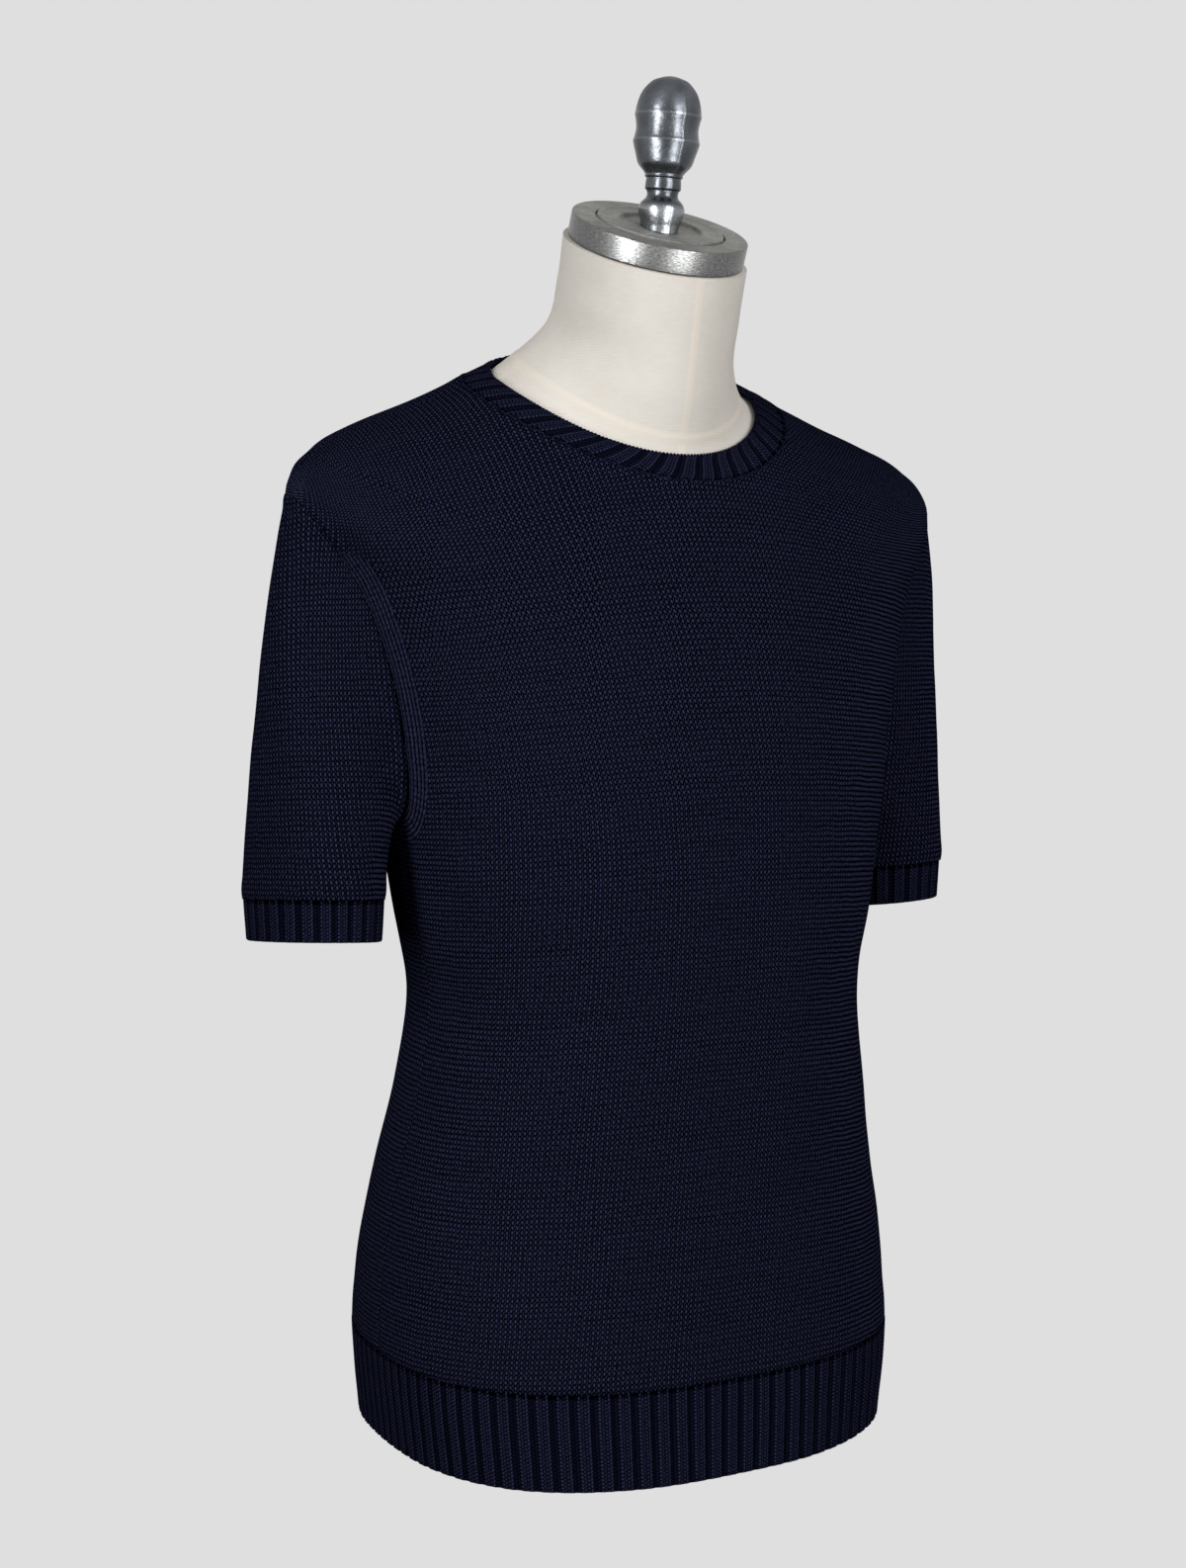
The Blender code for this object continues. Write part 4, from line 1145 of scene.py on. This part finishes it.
def new_tree(name, sizes):
    """A tree with these named sizes as inputs, between a rough piece and a finished one of one material."""
    tree = bpy.data.node_groups.new(name, "GeometryNodeTree")
    tree.interface.new_socket("Geometry", in_out="INPUT", socket_type="NodeSocketGeometry")
    for label in sizes:
        tree.interface.new_socket(label, in_out="INPUT", socket_type="NodeSocketFloat")
    tree.interface.new_socket("Material", in_out="INPUT", socket_type="NodeSocketMaterial")
    tree.interface.new_socket("Geometry", in_out="OUTPUT", socket_type="NodeSocketGeometry")
    node = partial(add_node, tree)
    return tree, node, node("NodeGroupInput").outputs


def end_tree(node, geometry, material):
    real = node("GeometryNodeRealizeInstances", geometry)
    node("NodeGroupOutput", node("GeometryNodeSetMaterial", {"Geometry": real, "Material": material}))


def rib_tree():
    """Presses the furrows of a two-by-two rib into a wall, from how far across a rib each point is."""
    tree, node, given = new_tree("ribs", ("Furrow depth", "Ridge"))
    repeat = node(NAMED_ATTRIBUTE, {"Name": "repeat"}, data_type="FLOAT")
    relief = node(NAMED_ATTRIBUTE, {"Name": "relief"}, data_type="FLOAT")
    outward = node(NAMED_ATTRIBUTE, {"Name": "outward"}, data_type="FLOAT_VECTOR")
    profile = node("ShaderNodeFloatCurve", {"Value": node(MATH, repeat, operation="FRACT")})
    curve = profile.mapping.curves[0]
    curve.points[0].location = RIB_PROFILE[0]
    curve.points[1].location = RIB_PROFILE[-1]
    for place in RIB_PROFILE[1:-1]:
        curve.points.new(*place)
    profile.mapping.update()
    sunk = node(MATH, profile, given["Ridge"], operation="SUBTRACT")
    deep = node(MATH, sunk, given["Furrow depth"], operation="MULTIPLY")
    moved = node(MATH, deep, relief, operation="MULTIPLY")
    offset = node(VECTOR_MATH, {0: outward, "Scale": moved}, operation="SCALE")
    pressed = node("GeometryNodeSetPosition", {"Geometry": given["Geometry"], "Offset": offset})
    end_tree(node, pressed, given["Material"])
    return tree


def made_by(tree, rough, values):
    """The plain mesh that a node tree makes of a rough piece, in a new object of the same name."""
    modifier = rough.modifiers.new("nodes", "NODES")
    modifier.node_group = tree
    for item in tree.interface.items_tree:
        if item.in_out == "INPUT" and item.name in values:
            modifier[item.identifier] = values[item.name]
    rough.update_tag()
    bpy.context.view_layer.update()
    graph = bpy.context.evaluated_depsgraph_get()
    evaluated = rough.evaluated_get(graph)
    mesh = bpy.data.meshes.new_from_object(evaluated, preserve_all_data_layers=True, depsgraph=graph)
    name = rough.name
    bpy.data.objects.remove(rough, do_unlink=True)
    mesh.name = name
    return finished(name, mesh, values["Material"])


def rounded_rim(outer, inner, away, at_end):
    """Adds rows to both sides of a wall that round its free edge."""
    place = -1 if at_end else 0
    middle = (outer[place] + inner[place]) / 2
    half = (outer[place] - inner[place]) / 2
    sides = []
    for grid, sign in ((outer, 1), (inner, -1)):
        arc = []
        for step in range(1, RIM_STEPS + 1):
            turn = math.radians(RIM_TURN) * step / RIM_STEPS
            arc.append(middle + sign * half * math.cos(turn) + away * RIM * math.sin(turn))
        arc = np.array(arc)
        sides.append(np.concatenate((grid, arc) if at_end else (arc[::-1], grid)))
    return sides


def rib_relief(rows, at_start, at_end):
    """How much of a rib's relief each row has: all of it, but less round a free edge."""
    relief = np.ones(rows)
    fall = np.cos(np.radians(RIM_TURN) * np.arange(1, RIM_STEPS + 1) / RIM_STEPS)
    if at_start:
        relief[:RIM_STEPS] = fall[::-1]
    if at_end:
        relief[-RIM_STEPS:] = fall
    return relief


def rib_wall(name, outer, inner, outward, ribs, relief, rise, material, closed=False, skew=0.0):
    """skew is how many ribs each column shifts from its seam to its free edge."""
    rows, columns = outer.shape[:2]
    wide = columns + closed
    skew = np.resize(np.broadcast_to(skew, columns), wide)
    repeat = np.linspace(0, ribs, wide) - skew * (np.abs(rise) / np.abs(rise).max())[:, None]
    up = np.broadcast_to(rise[:, None] / RIB_COURSE, (rows, wide))
    stitches = np.stack((repeat * RIB_WALES, up), axis=-1)
    reach = np.broadcast_to(relief[:, None, None], (rows, columns, 1))
    facts = {
        "repeat": (repeat[:, :columns, None] + 1e-4, repeat[:, :columns, None] + 1e-4),
        "relief": (reach, reach * 0),
        "outward": (outward, outward),
    }
    rough = shell(name, outer, inner, {"stitches": stitches}, material, closed, facts)
    values = {"Furrow depth": RIB_DEPTH, "Ridge": RIB_RIDGE, "Material": material}
    return made_by(rib_nodes, rough, values)


def hem_rib(name, front, material):
    angles = np.linspace(math.pi if front else 0, 2 * math.pi if front else math.pi, HEM_RIBS * RIB_STEPS + 1)
    first = LEVEL["hem"] + level_step(angles, np.full_like(angles, LEVEL["hem"]), RIM)
    part = np.linspace(0, 1, HEM_ROWS + 1)[:, None]
    levels = first[None, :] * (1 - part) + LEVEL["rib_top"] * part
    wide = np.broadcast_to(angles, levels.shape)
    outward = form_normal(wide, levels)
    ease = unevenness(cloth_point(wide, levels, RIB_CLOTH))[..., None] * outward
    outer = cloth_point(wide, levels, RIB_CLOTH) + ease
    inner = cloth_point(wide, levels, RIB_CLOTH, outside=False)
    down = unit(outer[0] - outer[1])
    outer, inner = rounded_rim(outer, inner, down, at_end=False)
    outward = np.concatenate((np.repeat(outward[:1], RIM_STEPS, axis=0), outward))
    rise = np.concatenate((np.linspace(0, RIM, RIM_STEPS), RIM + part[:, 0] * (HEM_RIB - RIM)))
    relief = rib_relief(len(outer), True, False)
    return rib_wall(name, outer, inner, outward, HEM_RIBS, relief, rise - HEM_RIB, material)


def neck_seam(angles):
    """The level of the seam under the neckband, which lies lower in front and to the sides."""
    behind, ahead = (1 + np.sin(angles)) / 2, (1 - np.sin(angles)) / 2
    higher = NECK_HIGHER * behind**1.5
    return LEVEL["band_seam"] + higher - SEAM_SIDES * np.cos(angles) ** 2 - SEAM_FRONT * ahead


def neck_edge(angles):
    behind, ahead = (1 + np.sin(angles)) / 2, (1 - np.sin(angles)) / 2
    higher = NECK_HIGHER * behind**1.5
    return LEVEL["neckline"] + higher - EDGE_SIDES * np.cos(angles) ** 2 - EDGE_FRONT * ahead


def neckband(name, material):
    angles = np.linspace(0, 2 * math.pi, NECK_RIBS * RIB_STEPS, endpoint=False)
    last = neck_edge(angles)
    last = last - level_step(angles, last, RIM)
    part = np.linspace(0, 1, NECK_ROWS + 1)[:, None]
    levels = neck_seam(angles)[None, :] * (1 - part) + last[None, :] * part
    wide = np.broadcast_to(angles, levels.shape)
    outward = form_normal(wide, levels)
    ease = unevenness(cloth_point(wide, levels, RIB_CLOTH))[..., None] * outward * 0.6
    outer = cloth_point(wide, levels, RIB_CLOTH) + ease
    inner = cloth_point(wide, levels, RIB_CLOTH, outside=False)
    up = unit(outer[-1] - outer[-2])
    edge = (outer[-1] + inner[-1]) / 2 + up * RIM * 0.6
    seam = outer[0] + outward[0] * 0.0002
    seam_outward = outward[0]
    outer, inner = rounded_rim(outer, inner, up, at_end=True)
    outward = np.concatenate((outward, np.repeat(outward[-1:], RIM_STEPS, axis=0)))
    rise = np.concatenate((part[:, 0] * NECK_RIB, NECK_RIB + np.linspace(0, RIM, RIM_STEPS)))
    relief = rib_relief(len(outer), False, True) * NECK_RELIEF
    skew = NECK_SKEW * (1 - np.sin(angles)) / 2
    made = rib_wall(name, outer, inner, outward, NECK_RIBS, relief, -rise, material, True, skew)
    return made, (edge, up), (seam, seam_outward)


def cuff(name, mirrored, material):
    turns = np.linspace(0, 2 * math.pi, CUFF_RIBS * RIB_STEPS, endpoint=False)
    part = np.linspace(0, 1, CUFF_ROWS + 1)
    heights = RIM + part * (CUFF_RIB - RIM)
    flares = CUFF_FLARE * heights / CUFF_RIB
    outer = np.array([cuff_ring(turns, height, flare) for height, flare in zip(heights, flares)])
    inner = np.array([cuff_ring(turns, height, flare - RIB_CLOTH) for height, flare in zip(heights, flares)])
    outward = outward_of(outer)
    outer = outer + outward * unevenness(outer)[..., None]
    outer, inner = rounded_rim(outer, inner, DOWN, at_end=False)
    outward = np.concatenate((np.repeat(outward[:1], RIM_STEPS, axis=0), outward))
    if mirrored:
        outer, inner, outward = (grid[:, ::-1] * (-1, 1, 1) for grid in (outer, inner, outward))
    rise = np.concatenate((np.linspace(0, RIM, RIM_STEPS), heights)) - CUFF_RIB
    relief = rib_relief(len(outer), True, False)
    return rib_wall(name, outer, inner, outward, CUFF_RIBS, relief, rise, material, closed=True)


# The stitches that stand along an edge, such as the loops of the neckband and the chain that links it on.


def loop_tree():
    """Sets a small arched loop of yarn at every stitch of a closed line."""
    sizes = ("Pitch", "Loop length", "Loop height", "Yarn radius", "Lean")
    tree, node, given = new_tree("edge_stitches", sizes)
    length = given["Loop length"]
    line = node("GeometryNodeMeshToCurve", {"Mesh": given["Geometry"]})
    spaced = node("GeometryNodeResampleCurve", {"Curve": line, "Length": given["Pitch"]}, mode="LENGTH")
    arch = node("GeometryNodeCurveArc", {"Resolution": 7, "Radius": 0.5, "Sweep Angle": math.pi})
    ring = node("GeometryNodeCurvePrimitiveCircle", {"Resolution": 6, "Radius": 1.0})
    thick = node(MATH, given["Yarn radius"], length, operation="DIVIDE")
    ring = node("GeometryNodeTransform", {"Geometry": ring, "Scale": node(JOIN, thick, thick, 1.0)})
    yarn = node("GeometryNodeCurveToMesh", {"Curve": arch, "Profile Curve": ring, "Fill Caps": True})
    size = node(JOIN, length, given["Loop height"], length)
    away = node(NAMED_ATTRIBUTE, {"Name": "outward"}, data_type="FLOAT_VECTOR")
    tangent = node("GeometryNodeInputTangent")
    upright = node("FunctionNodeAlignEulerToVector", {"Vector": away}, axis="Y")
    turned = node(
        "FunctionNodeAlignEulerToVector", {"Rotation": upright, "Vector": tangent}, axis="X", pivot_axis="Y"
    )
    lean = node(JOIN, 0.0, given["Lean"], 0.0)
    leaned = node("FunctionNodeRotateEuler", {"Rotation": turned, "Rotate By": lean}, space="LOCAL")
    loops = node(
        "GeometryNodeInstanceOnPoints",
        {"Points": spaced, "Instance": yarn, "Rotation": leaned, "Scale": size},
    )
    end_tree(node, loops, given["Material"])
    return tree


def edge_stitches(name, line, outward, sizes, material):
    count = len(line)
    mesh = bpy.data.meshes.new(name)
    mesh.from_pydata(line.tolist(), [(index, (index + 1) % count) for index in range(count)], [])
    layer = mesh.attributes.new("outward", "FLOAT_VECTOR", "POINT")
    layer.data.foreach_set("vector", outward.astype(np.float32).ravel())
    rough = bpy.data.objects.new(name, mesh)
    bpy.context.scene.collection.objects.link(rough)
    return made_by(loop_nodes, rough, {**sizes, "Material": material})


# The form.


def form_cover(name, material):
    """The padded cover from its rounded lower edge to the plate on its neck."""
    angles = np.linspace(0, 2 * math.pi, FORM_AROUND, endpoint=False)
    bottom = form_point(angles, 0.0)
    inward = unit(form_normal(angles, np.full_like(angles, 0.05)) * (-1, -1, 0))
    rings, levels = [], []
    for step in range(BASE_STEPS + 1):
        turn = math.pi / 2 * step / BASE_STEPS
        ring = bottom + inward * BASE_ROUNDING * (1 - math.sin(turn))
        ring[:, 2] = BASE_ROUNDING * (1 - math.cos(turn))
        rings.append(ring)
        levels.append(0.4 * step / BASE_STEPS)
    middle = rings[0].mean(axis=0) * (1, 1, 0)
    under = [middle + (rings[0] - middle) * part for part in (0.02, 0.3, 0.6, 0.9)]
    body_levels = np.concatenate((np.linspace(0.55, 15, 60), np.linspace(15, LEVEL["plate"], 90)[1:]))
    for level in body_levels:
        ring = form_point(angles, level)
        outward = form_normal(angles, np.full_like(angles, level))
        ring = ring + outward * cover_seams(level, ring)[:, None]
        rings.append(ring)
        levels.append(level)
    top = rings[-1]
    centre = top.mean(axis=0)
    over = [centre + (top - centre) * part for part in (0.985, 0.6, 0.02)]
    grid = np.array(under + rings + over)
    levels = np.array([0.0] * len(under) + levels + [LEVEL["plate"]] * len(over))
    rows, columns = grid.shape[:2]
    row, column = np.meshgrid(np.arange(rows - 1), np.arange(columns), indexing="ij")
    row, column = row.ravel(), column.ravel()
    corners = ((row, column), (row, column + 1), (row + 1, column + 1), (row + 1, column))
    faces = np.stack([r * columns + c % columns for r, c in corners], axis=-1)
    faces = faces.tolist()
    faces.append(list(range(columns))[::-1])
    faces.append(list(range((rows - 1) * columns, rows * columns)))
    mesh = bpy.data.meshes.new(name)
    mesh.from_pydata(grid.reshape(-1, 3).tolist(), [], faces)
    layer = mesh.attributes.new("level", "FLOAT", "POINT")
    layer.data.foreach_set("value", np.repeat(levels, columns).astype(np.float32))
    made = finished(name, mesh, material)
    mesh.set_sharp_from_angle(angle=math.radians(50))
    return made


def cover_seams(level, ring):
    """How far the cover stands out over its seams, and dips beside them."""
    front = np.where(ring[:, 1] < -0.02, np.abs(ring[:, 0]), 1.0)
    across = np.abs(level - COLLAR_SEAM) * COLLAR_LEVEL
    stand = 0.0
    for away in (front, np.full_like(front, across)):
        stand = stand + SEAM_STAND * np.exp(-((away / SEAM_HALF) ** 4)) - hump(away, *SEAM_BESIDE)
    return stand


# The neck cap and the finial.


def plate_frame():
    """The middle of the neck's top face and the turn that lays it flat."""
    ring = dict(zip(RING_COLUMNS, BODY["plate"]))
    tilt = math.atan2(ring["back_z"] - ring["front_z"], ring["back_y"] - ring["front_y"])
    centre = Vector((0, (ring["front_y"] + ring["back_y"]) / 2, (ring["front_z"] + ring["back_z"]) / 2))
    return Matrix.Translation(centre) @ Matrix.Rotation(tilt, 4, "X")


def lathed(name, profile, spans, place, material, sharp=40):
    """Turns a profile of (radius, height) about its axis, at these angles, and puts it in place."""
    count = len(spans)
    points, faces = [], []
    for radius, height in profile:
        for turn in spans:
            points.append((radius * math.cos(turn), radius * math.sin(turn), height))
    for ring in range(len(profile) - 1):
        for index in range(count):
            beside = (index + 1) % count
            low, high = ring * count, (ring + 1) * count
            faces.append((low + index, low + beside, high + beside, high + index))
    faces.append(tuple(range(count))[::-1])
    faces.append(tuple(range((len(profile) - 1) * count, len(profile) * count)))
    mesh = bpy.data.meshes.new(name)
    mesh.from_pydata(points, [], faces)
    layer = mesh.attributes.new("turned", "FLOAT_VECTOR", "POINT")
    layer.data.foreach_set("vector", np.array(points, np.float32).ravel())
    mesh.transform(place)
    made = finished(name, mesh, material)
    mesh.set_sharp_from_angle(angle=math.radians(sharp))
    return made


def neck_cap(name, material):
    edge, ledge, well = CAP_EDGE, CAP_STEP_RADIUS, CAP_RECESS_RADIUS
    low, high = CAP_HEIGHT - CAP_STEP, CAP_HEIGHT
    sunk = high - 0.0003
    recess = CAP_HEIGHT - CAP_RECESS
    profile = [(0.0006, 0), (CAP_RADIUS - 0.0004 - edge, 0), (CAP_RADIUS - edge, 0)]
    for step in range(1, 4):
        turn = math.pi / 2 * step / 4
        profile.append((CAP_RADIUS - edge + edge * math.sin(turn), edge - edge * math.cos(turn)))
    profile += [(CAP_RADIUS, edge), (CAP_RADIUS, low - edge)]
    for step in range(1, 4):
        turn = math.pi / 2 * step / 4
        profile.append((CAP_RADIUS - edge + edge * math.cos(turn), low - edge + edge * math.sin(turn)))
    profile += [
        (CAP_RADIUS - edge, low), (ledge + 0.0040, low), (ledge + 0.0016, low - 0.0001),
        (ledge + 0.0012, low - CAP_GROOVE), (ledge + 0.0001, low - CAP_GROOVE),
        (ledge, high - 0.0002), (ledge - 0.0003, high), (ledge - 0.0020, high),
        (ledge - 0.0028, sunk), (ledge - 0.0060, sunk),
        (well + 0.0020, sunk), (well + 0.0008, sunk - 0.0002),
        (well, recess + 0.0004), (well - 0.0008, recess), (0.0006, recess),
    ]
    place = plate_frame() @ Matrix.Translation((0, 0, SEAM))
    spans = np.linspace(0, 2 * math.pi, 144, endpoint=False)
    return lathed(name, profile, spans, place, material, sharp=35)


def finial(name, material):
    """The cast grip, with the parting line of its mould down its front and its back."""
    rows = np.array(list(FINIAL.values()))
    between = np.linspace(0, 1, FINIAL_STEPS, endpoint=False)
    steps = np.concatenate([between + index for index in range(len(rows) - 1)])
    curve = through_rows(rows, steps)
    crown = [(0.0050, 0.0914), (0.0026, 0.0919), (0.0006, FINIAL_HEIGHT)]
    profile = [(0.0006, 0.0), (0.0110, 0.0), *(tuple(point) for point in curve), *crown]
    even = np.linspace(0, 2 * math.pi, 88, endpoint=False)
    even = even[np.abs(np.cos(even)) > 0.05]
    line = np.array((-0.05, -0.025, -0.010, 0.0, 0.010, 0.025, 0.05))
    spans = np.sort(np.concatenate((even, math.pi / 2 + line, 3 * math.pi / 2 + line)))
    floor = plate_frame() @ Matrix.Translation((0, 0, SEAM + CAP_HEIGHT - CAP_RECESS + SEAM))
    origin = floor @ Vector((0, 0, 0))
    normal = (floor.to_3x3() @ Vector((0, 0, 1))).normalized()
    upright = Matrix.Translation(origin) @ Matrix.Rotation(FINIAL_TILT, 4, "X")
    upright = upright @ Matrix.Rotation(FINIAL_LEAN, 4, "Y")
    made = lathed(name, profile, spans, Matrix.Identity(4), material, sharp=50)
    axis = (upright.to_3x3() @ Vector((0, 0, 1))).normalized()
    for vert in made.data.vertices:
        foot = vert.co.z < 1e-6
        x, y, z = vert.co
        radius = math.hypot(x, y)
        if radius > 0.005 and z < FINIAL_HEIGHT - 0.0007 and not foot:
            off = abs(x) / PARTING_HALF
            stand = PARTING_LINE * math.exp(-(off**2)) * (1 + 0.5 * math.sin(310 * z) * math.sin(130 * z + 1))
            vert.co = (x * (1 + stand / radius), y * (1 + stand / radius), z)
        vert.co = upright @ vert.co
        if foot:
            vert.co += axis * ((origin - vert.co).dot(normal) / axis.dot(normal))
    made.data.update()
    return made


# Building it.

rib_nodes = rib_tree()
loop_nodes = loop_tree()

knit = knit_material()
rib = rib_material()
yarn = yarn_material()
calico = calico_material()
cast = cap_material()
tumbled = finial_material()

cover = form_cover("form_cover", calico)
cap = neck_cap("neck_cap_metal", cast)
grip = finial("finial_grip", tumbled)
front = body_panel("front_knit", True, knit)
back = body_panel("back_knit", False, knit)
right_sleeve = sleeve("sleeve_right_knit", False, RIGHT_SLEEVE_CREASES, knit)
left_sleeve = sleeve("sleeve_left_knit", True, LEFT_SLEEVE_CREASES, knit)
hem_front = hem_rib("hem_rib_front_knit", True, rib)
hem_back = hem_rib("hem_rib_back_knit", False, rib)
right_cuff = cuff("cuff_right_knit", False, rib)
left_cuff = cuff("cuff_left_knit", True, rib)
band, (edge_line, edge_away), (seam_line, seam_away) = neckband("neckband_knit", rib)
loops = edge_stitches(
    "neckband_loops", edge_line, edge_away,
    {"Pitch": 0.0025, "Loop length": 0.0022, "Loop height": 0.0030, "Yarn radius": 0.00055, "Lean": 0.35},
    yarn,
)
linking = edge_stitches(
    "neckband_linking", seam_line, seam_away,
    {"Pitch": 0.0026, "Loop length": 0.0032, "Loop height": 0.0009, "Yarn radius": 0.0004, "Lean": 0.5},
    yarn,
)

PIECES = (
    (cover, "canvas", ("form_torso",)),
    (cap, "cast_aluminium", ("neck_cap",)),
    (grip, "polished_aluminium", ("finial",)),
    (front, "knit", ("front",)),
    (back, "knit", ("back",)),
    (right_sleeve, "knit", ("sleeve_right",)),
    (left_sleeve, "knit", ("sleeve_left",)),
    (hem_front, "rib", ("hem_rib_front",)),
    (hem_back, "rib", ("hem_rib_back",)),
    (right_cuff, "rib", ("cuff_right",)),
    (left_cuff, "rib", ("cuff_left",)),
    (band, "rib", ("neckband",)),
    (loops, "rib", ()),
    (linking, "rib", ()),
)
for piece, finish, stands_for in PIECES:
    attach(piece, "root")
    if stands_for:
        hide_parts(*stands_for)

# The floor and the light.

floor = bpy.data.objects.new("sweep", bpy.data.meshes.new("sweep"))
floor.data.from_pydata([(-9, -9, 0), (9, -9, 0), (9, 9, 0), (-9, 9, 0)], [], [(0, 1, 2, 3)])
floor.data.materials.append(sweep_material())
bpy.context.scene.collection.objects.link(floor)

world = bpy.data.worlds.new("studio")
world.use_nodes = True
world.node_tree.nodes["Background"].inputs["Color"].default_value = (*linear(SWEEP), 1)
world.node_tree.nodes["Background"].inputs["Strength"].default_value = 1.0
bpy.context.scene.world = world


def softbox(name, place, aim, size, watts, matt=True, shine=True):
    """A soft light, out of the camera's sight, for matt surfaces, for shiny ones, or for both."""
    light = bpy.data.objects.new(name, bpy.data.lights.new(name, "AREA"))
    light.data.shape = "RECTANGLE"
    light.data.size, light.data.size_y = size
    light.data.energy = watts
    light.visible_camera = False
    light.visible_diffuse = matt
    light.visible_glossy = shine
    light.location = place
    light.rotation_euler = (Vector(aim) - Vector(place)).to_track_quat("-Z", "Y").to_euler()
    bpy.context.scene.collection.objects.link(light)


def flag(name, corners):
    """Black felt that keeps the light from one side, out of the picture."""
    made = bpy.data.objects.new(name, bpy.data.meshes.new(name))
    made.data.from_pydata(corners, [], [(0, 1, 2, 3)])
    made.data.materials.append(felt)
    made.visible_camera = False
    made.visible_glossy = False
    bpy.context.scene.collection.objects.link(made)


softbox("front_strip", (0.05, -1.30, 0.70), (0, 0, 0.78), (0.24, 1.36), 9, matt=False)
softbox("left_strip", (-1.20, -0.50, 0.70), (0, 0, 0.78), (0.24, 1.36), 9, matt=False)
softbox("rim_left_strip", (-0.894, -0.37, 0.41), (0, -0.08, 0.75), (0.50, 0.25), 4, matt=False)
softbox("rim_front_strip", (0.04, -0.825, 0.25), (0, -0.08, 0.75), (0.42, 0.20), 3, matt=False)
softbox("front_light", (0.45, -2.25, 1.08), (0, 0, 0.7), (0.6, 1.9), 26)
softbox("left_light", (-2.13, -0.86, 1.08), (0, 0, 0.7), (0.6, 1.9), 33)
softbox("back_light", (0.15, 0.84, 0.80), (0, 0, 0.45), (0.7, 0.9), 4, shine=False)
felt = felt_material()
flag("floor_flag", [(-2, -2, 0.0005), (2, -2, 0.0005), (2, 2, 0.0005), (-2, 2, 0.0005)])
flag("right_flag", [(0.62, -0.75, 0.0), (0.62, 1.0, 0.0), (0.62, 1.0, 0.95), (0.62, -0.75, 0.95)])
flag("back_flag", [(-1.2, 0.95, 0.0), (1.2, 0.95, 0.0), (1.2, 0.95, 1.6), (-1.2, 0.95, 1.6)])
flag("left_flag", [(-1.0, -0.1, 0.0), (-1.0, 0.95, 0.0), (-1.0, 0.95, 1.5), (-1.0, -0.1, 1.5)])
flag("top_flag", [(-1.3, -1.1, 2.0), (1.3, -1.1, 2.0), (1.3, 1.3, 2.0), (-1.3, 1.3, 2.0)])
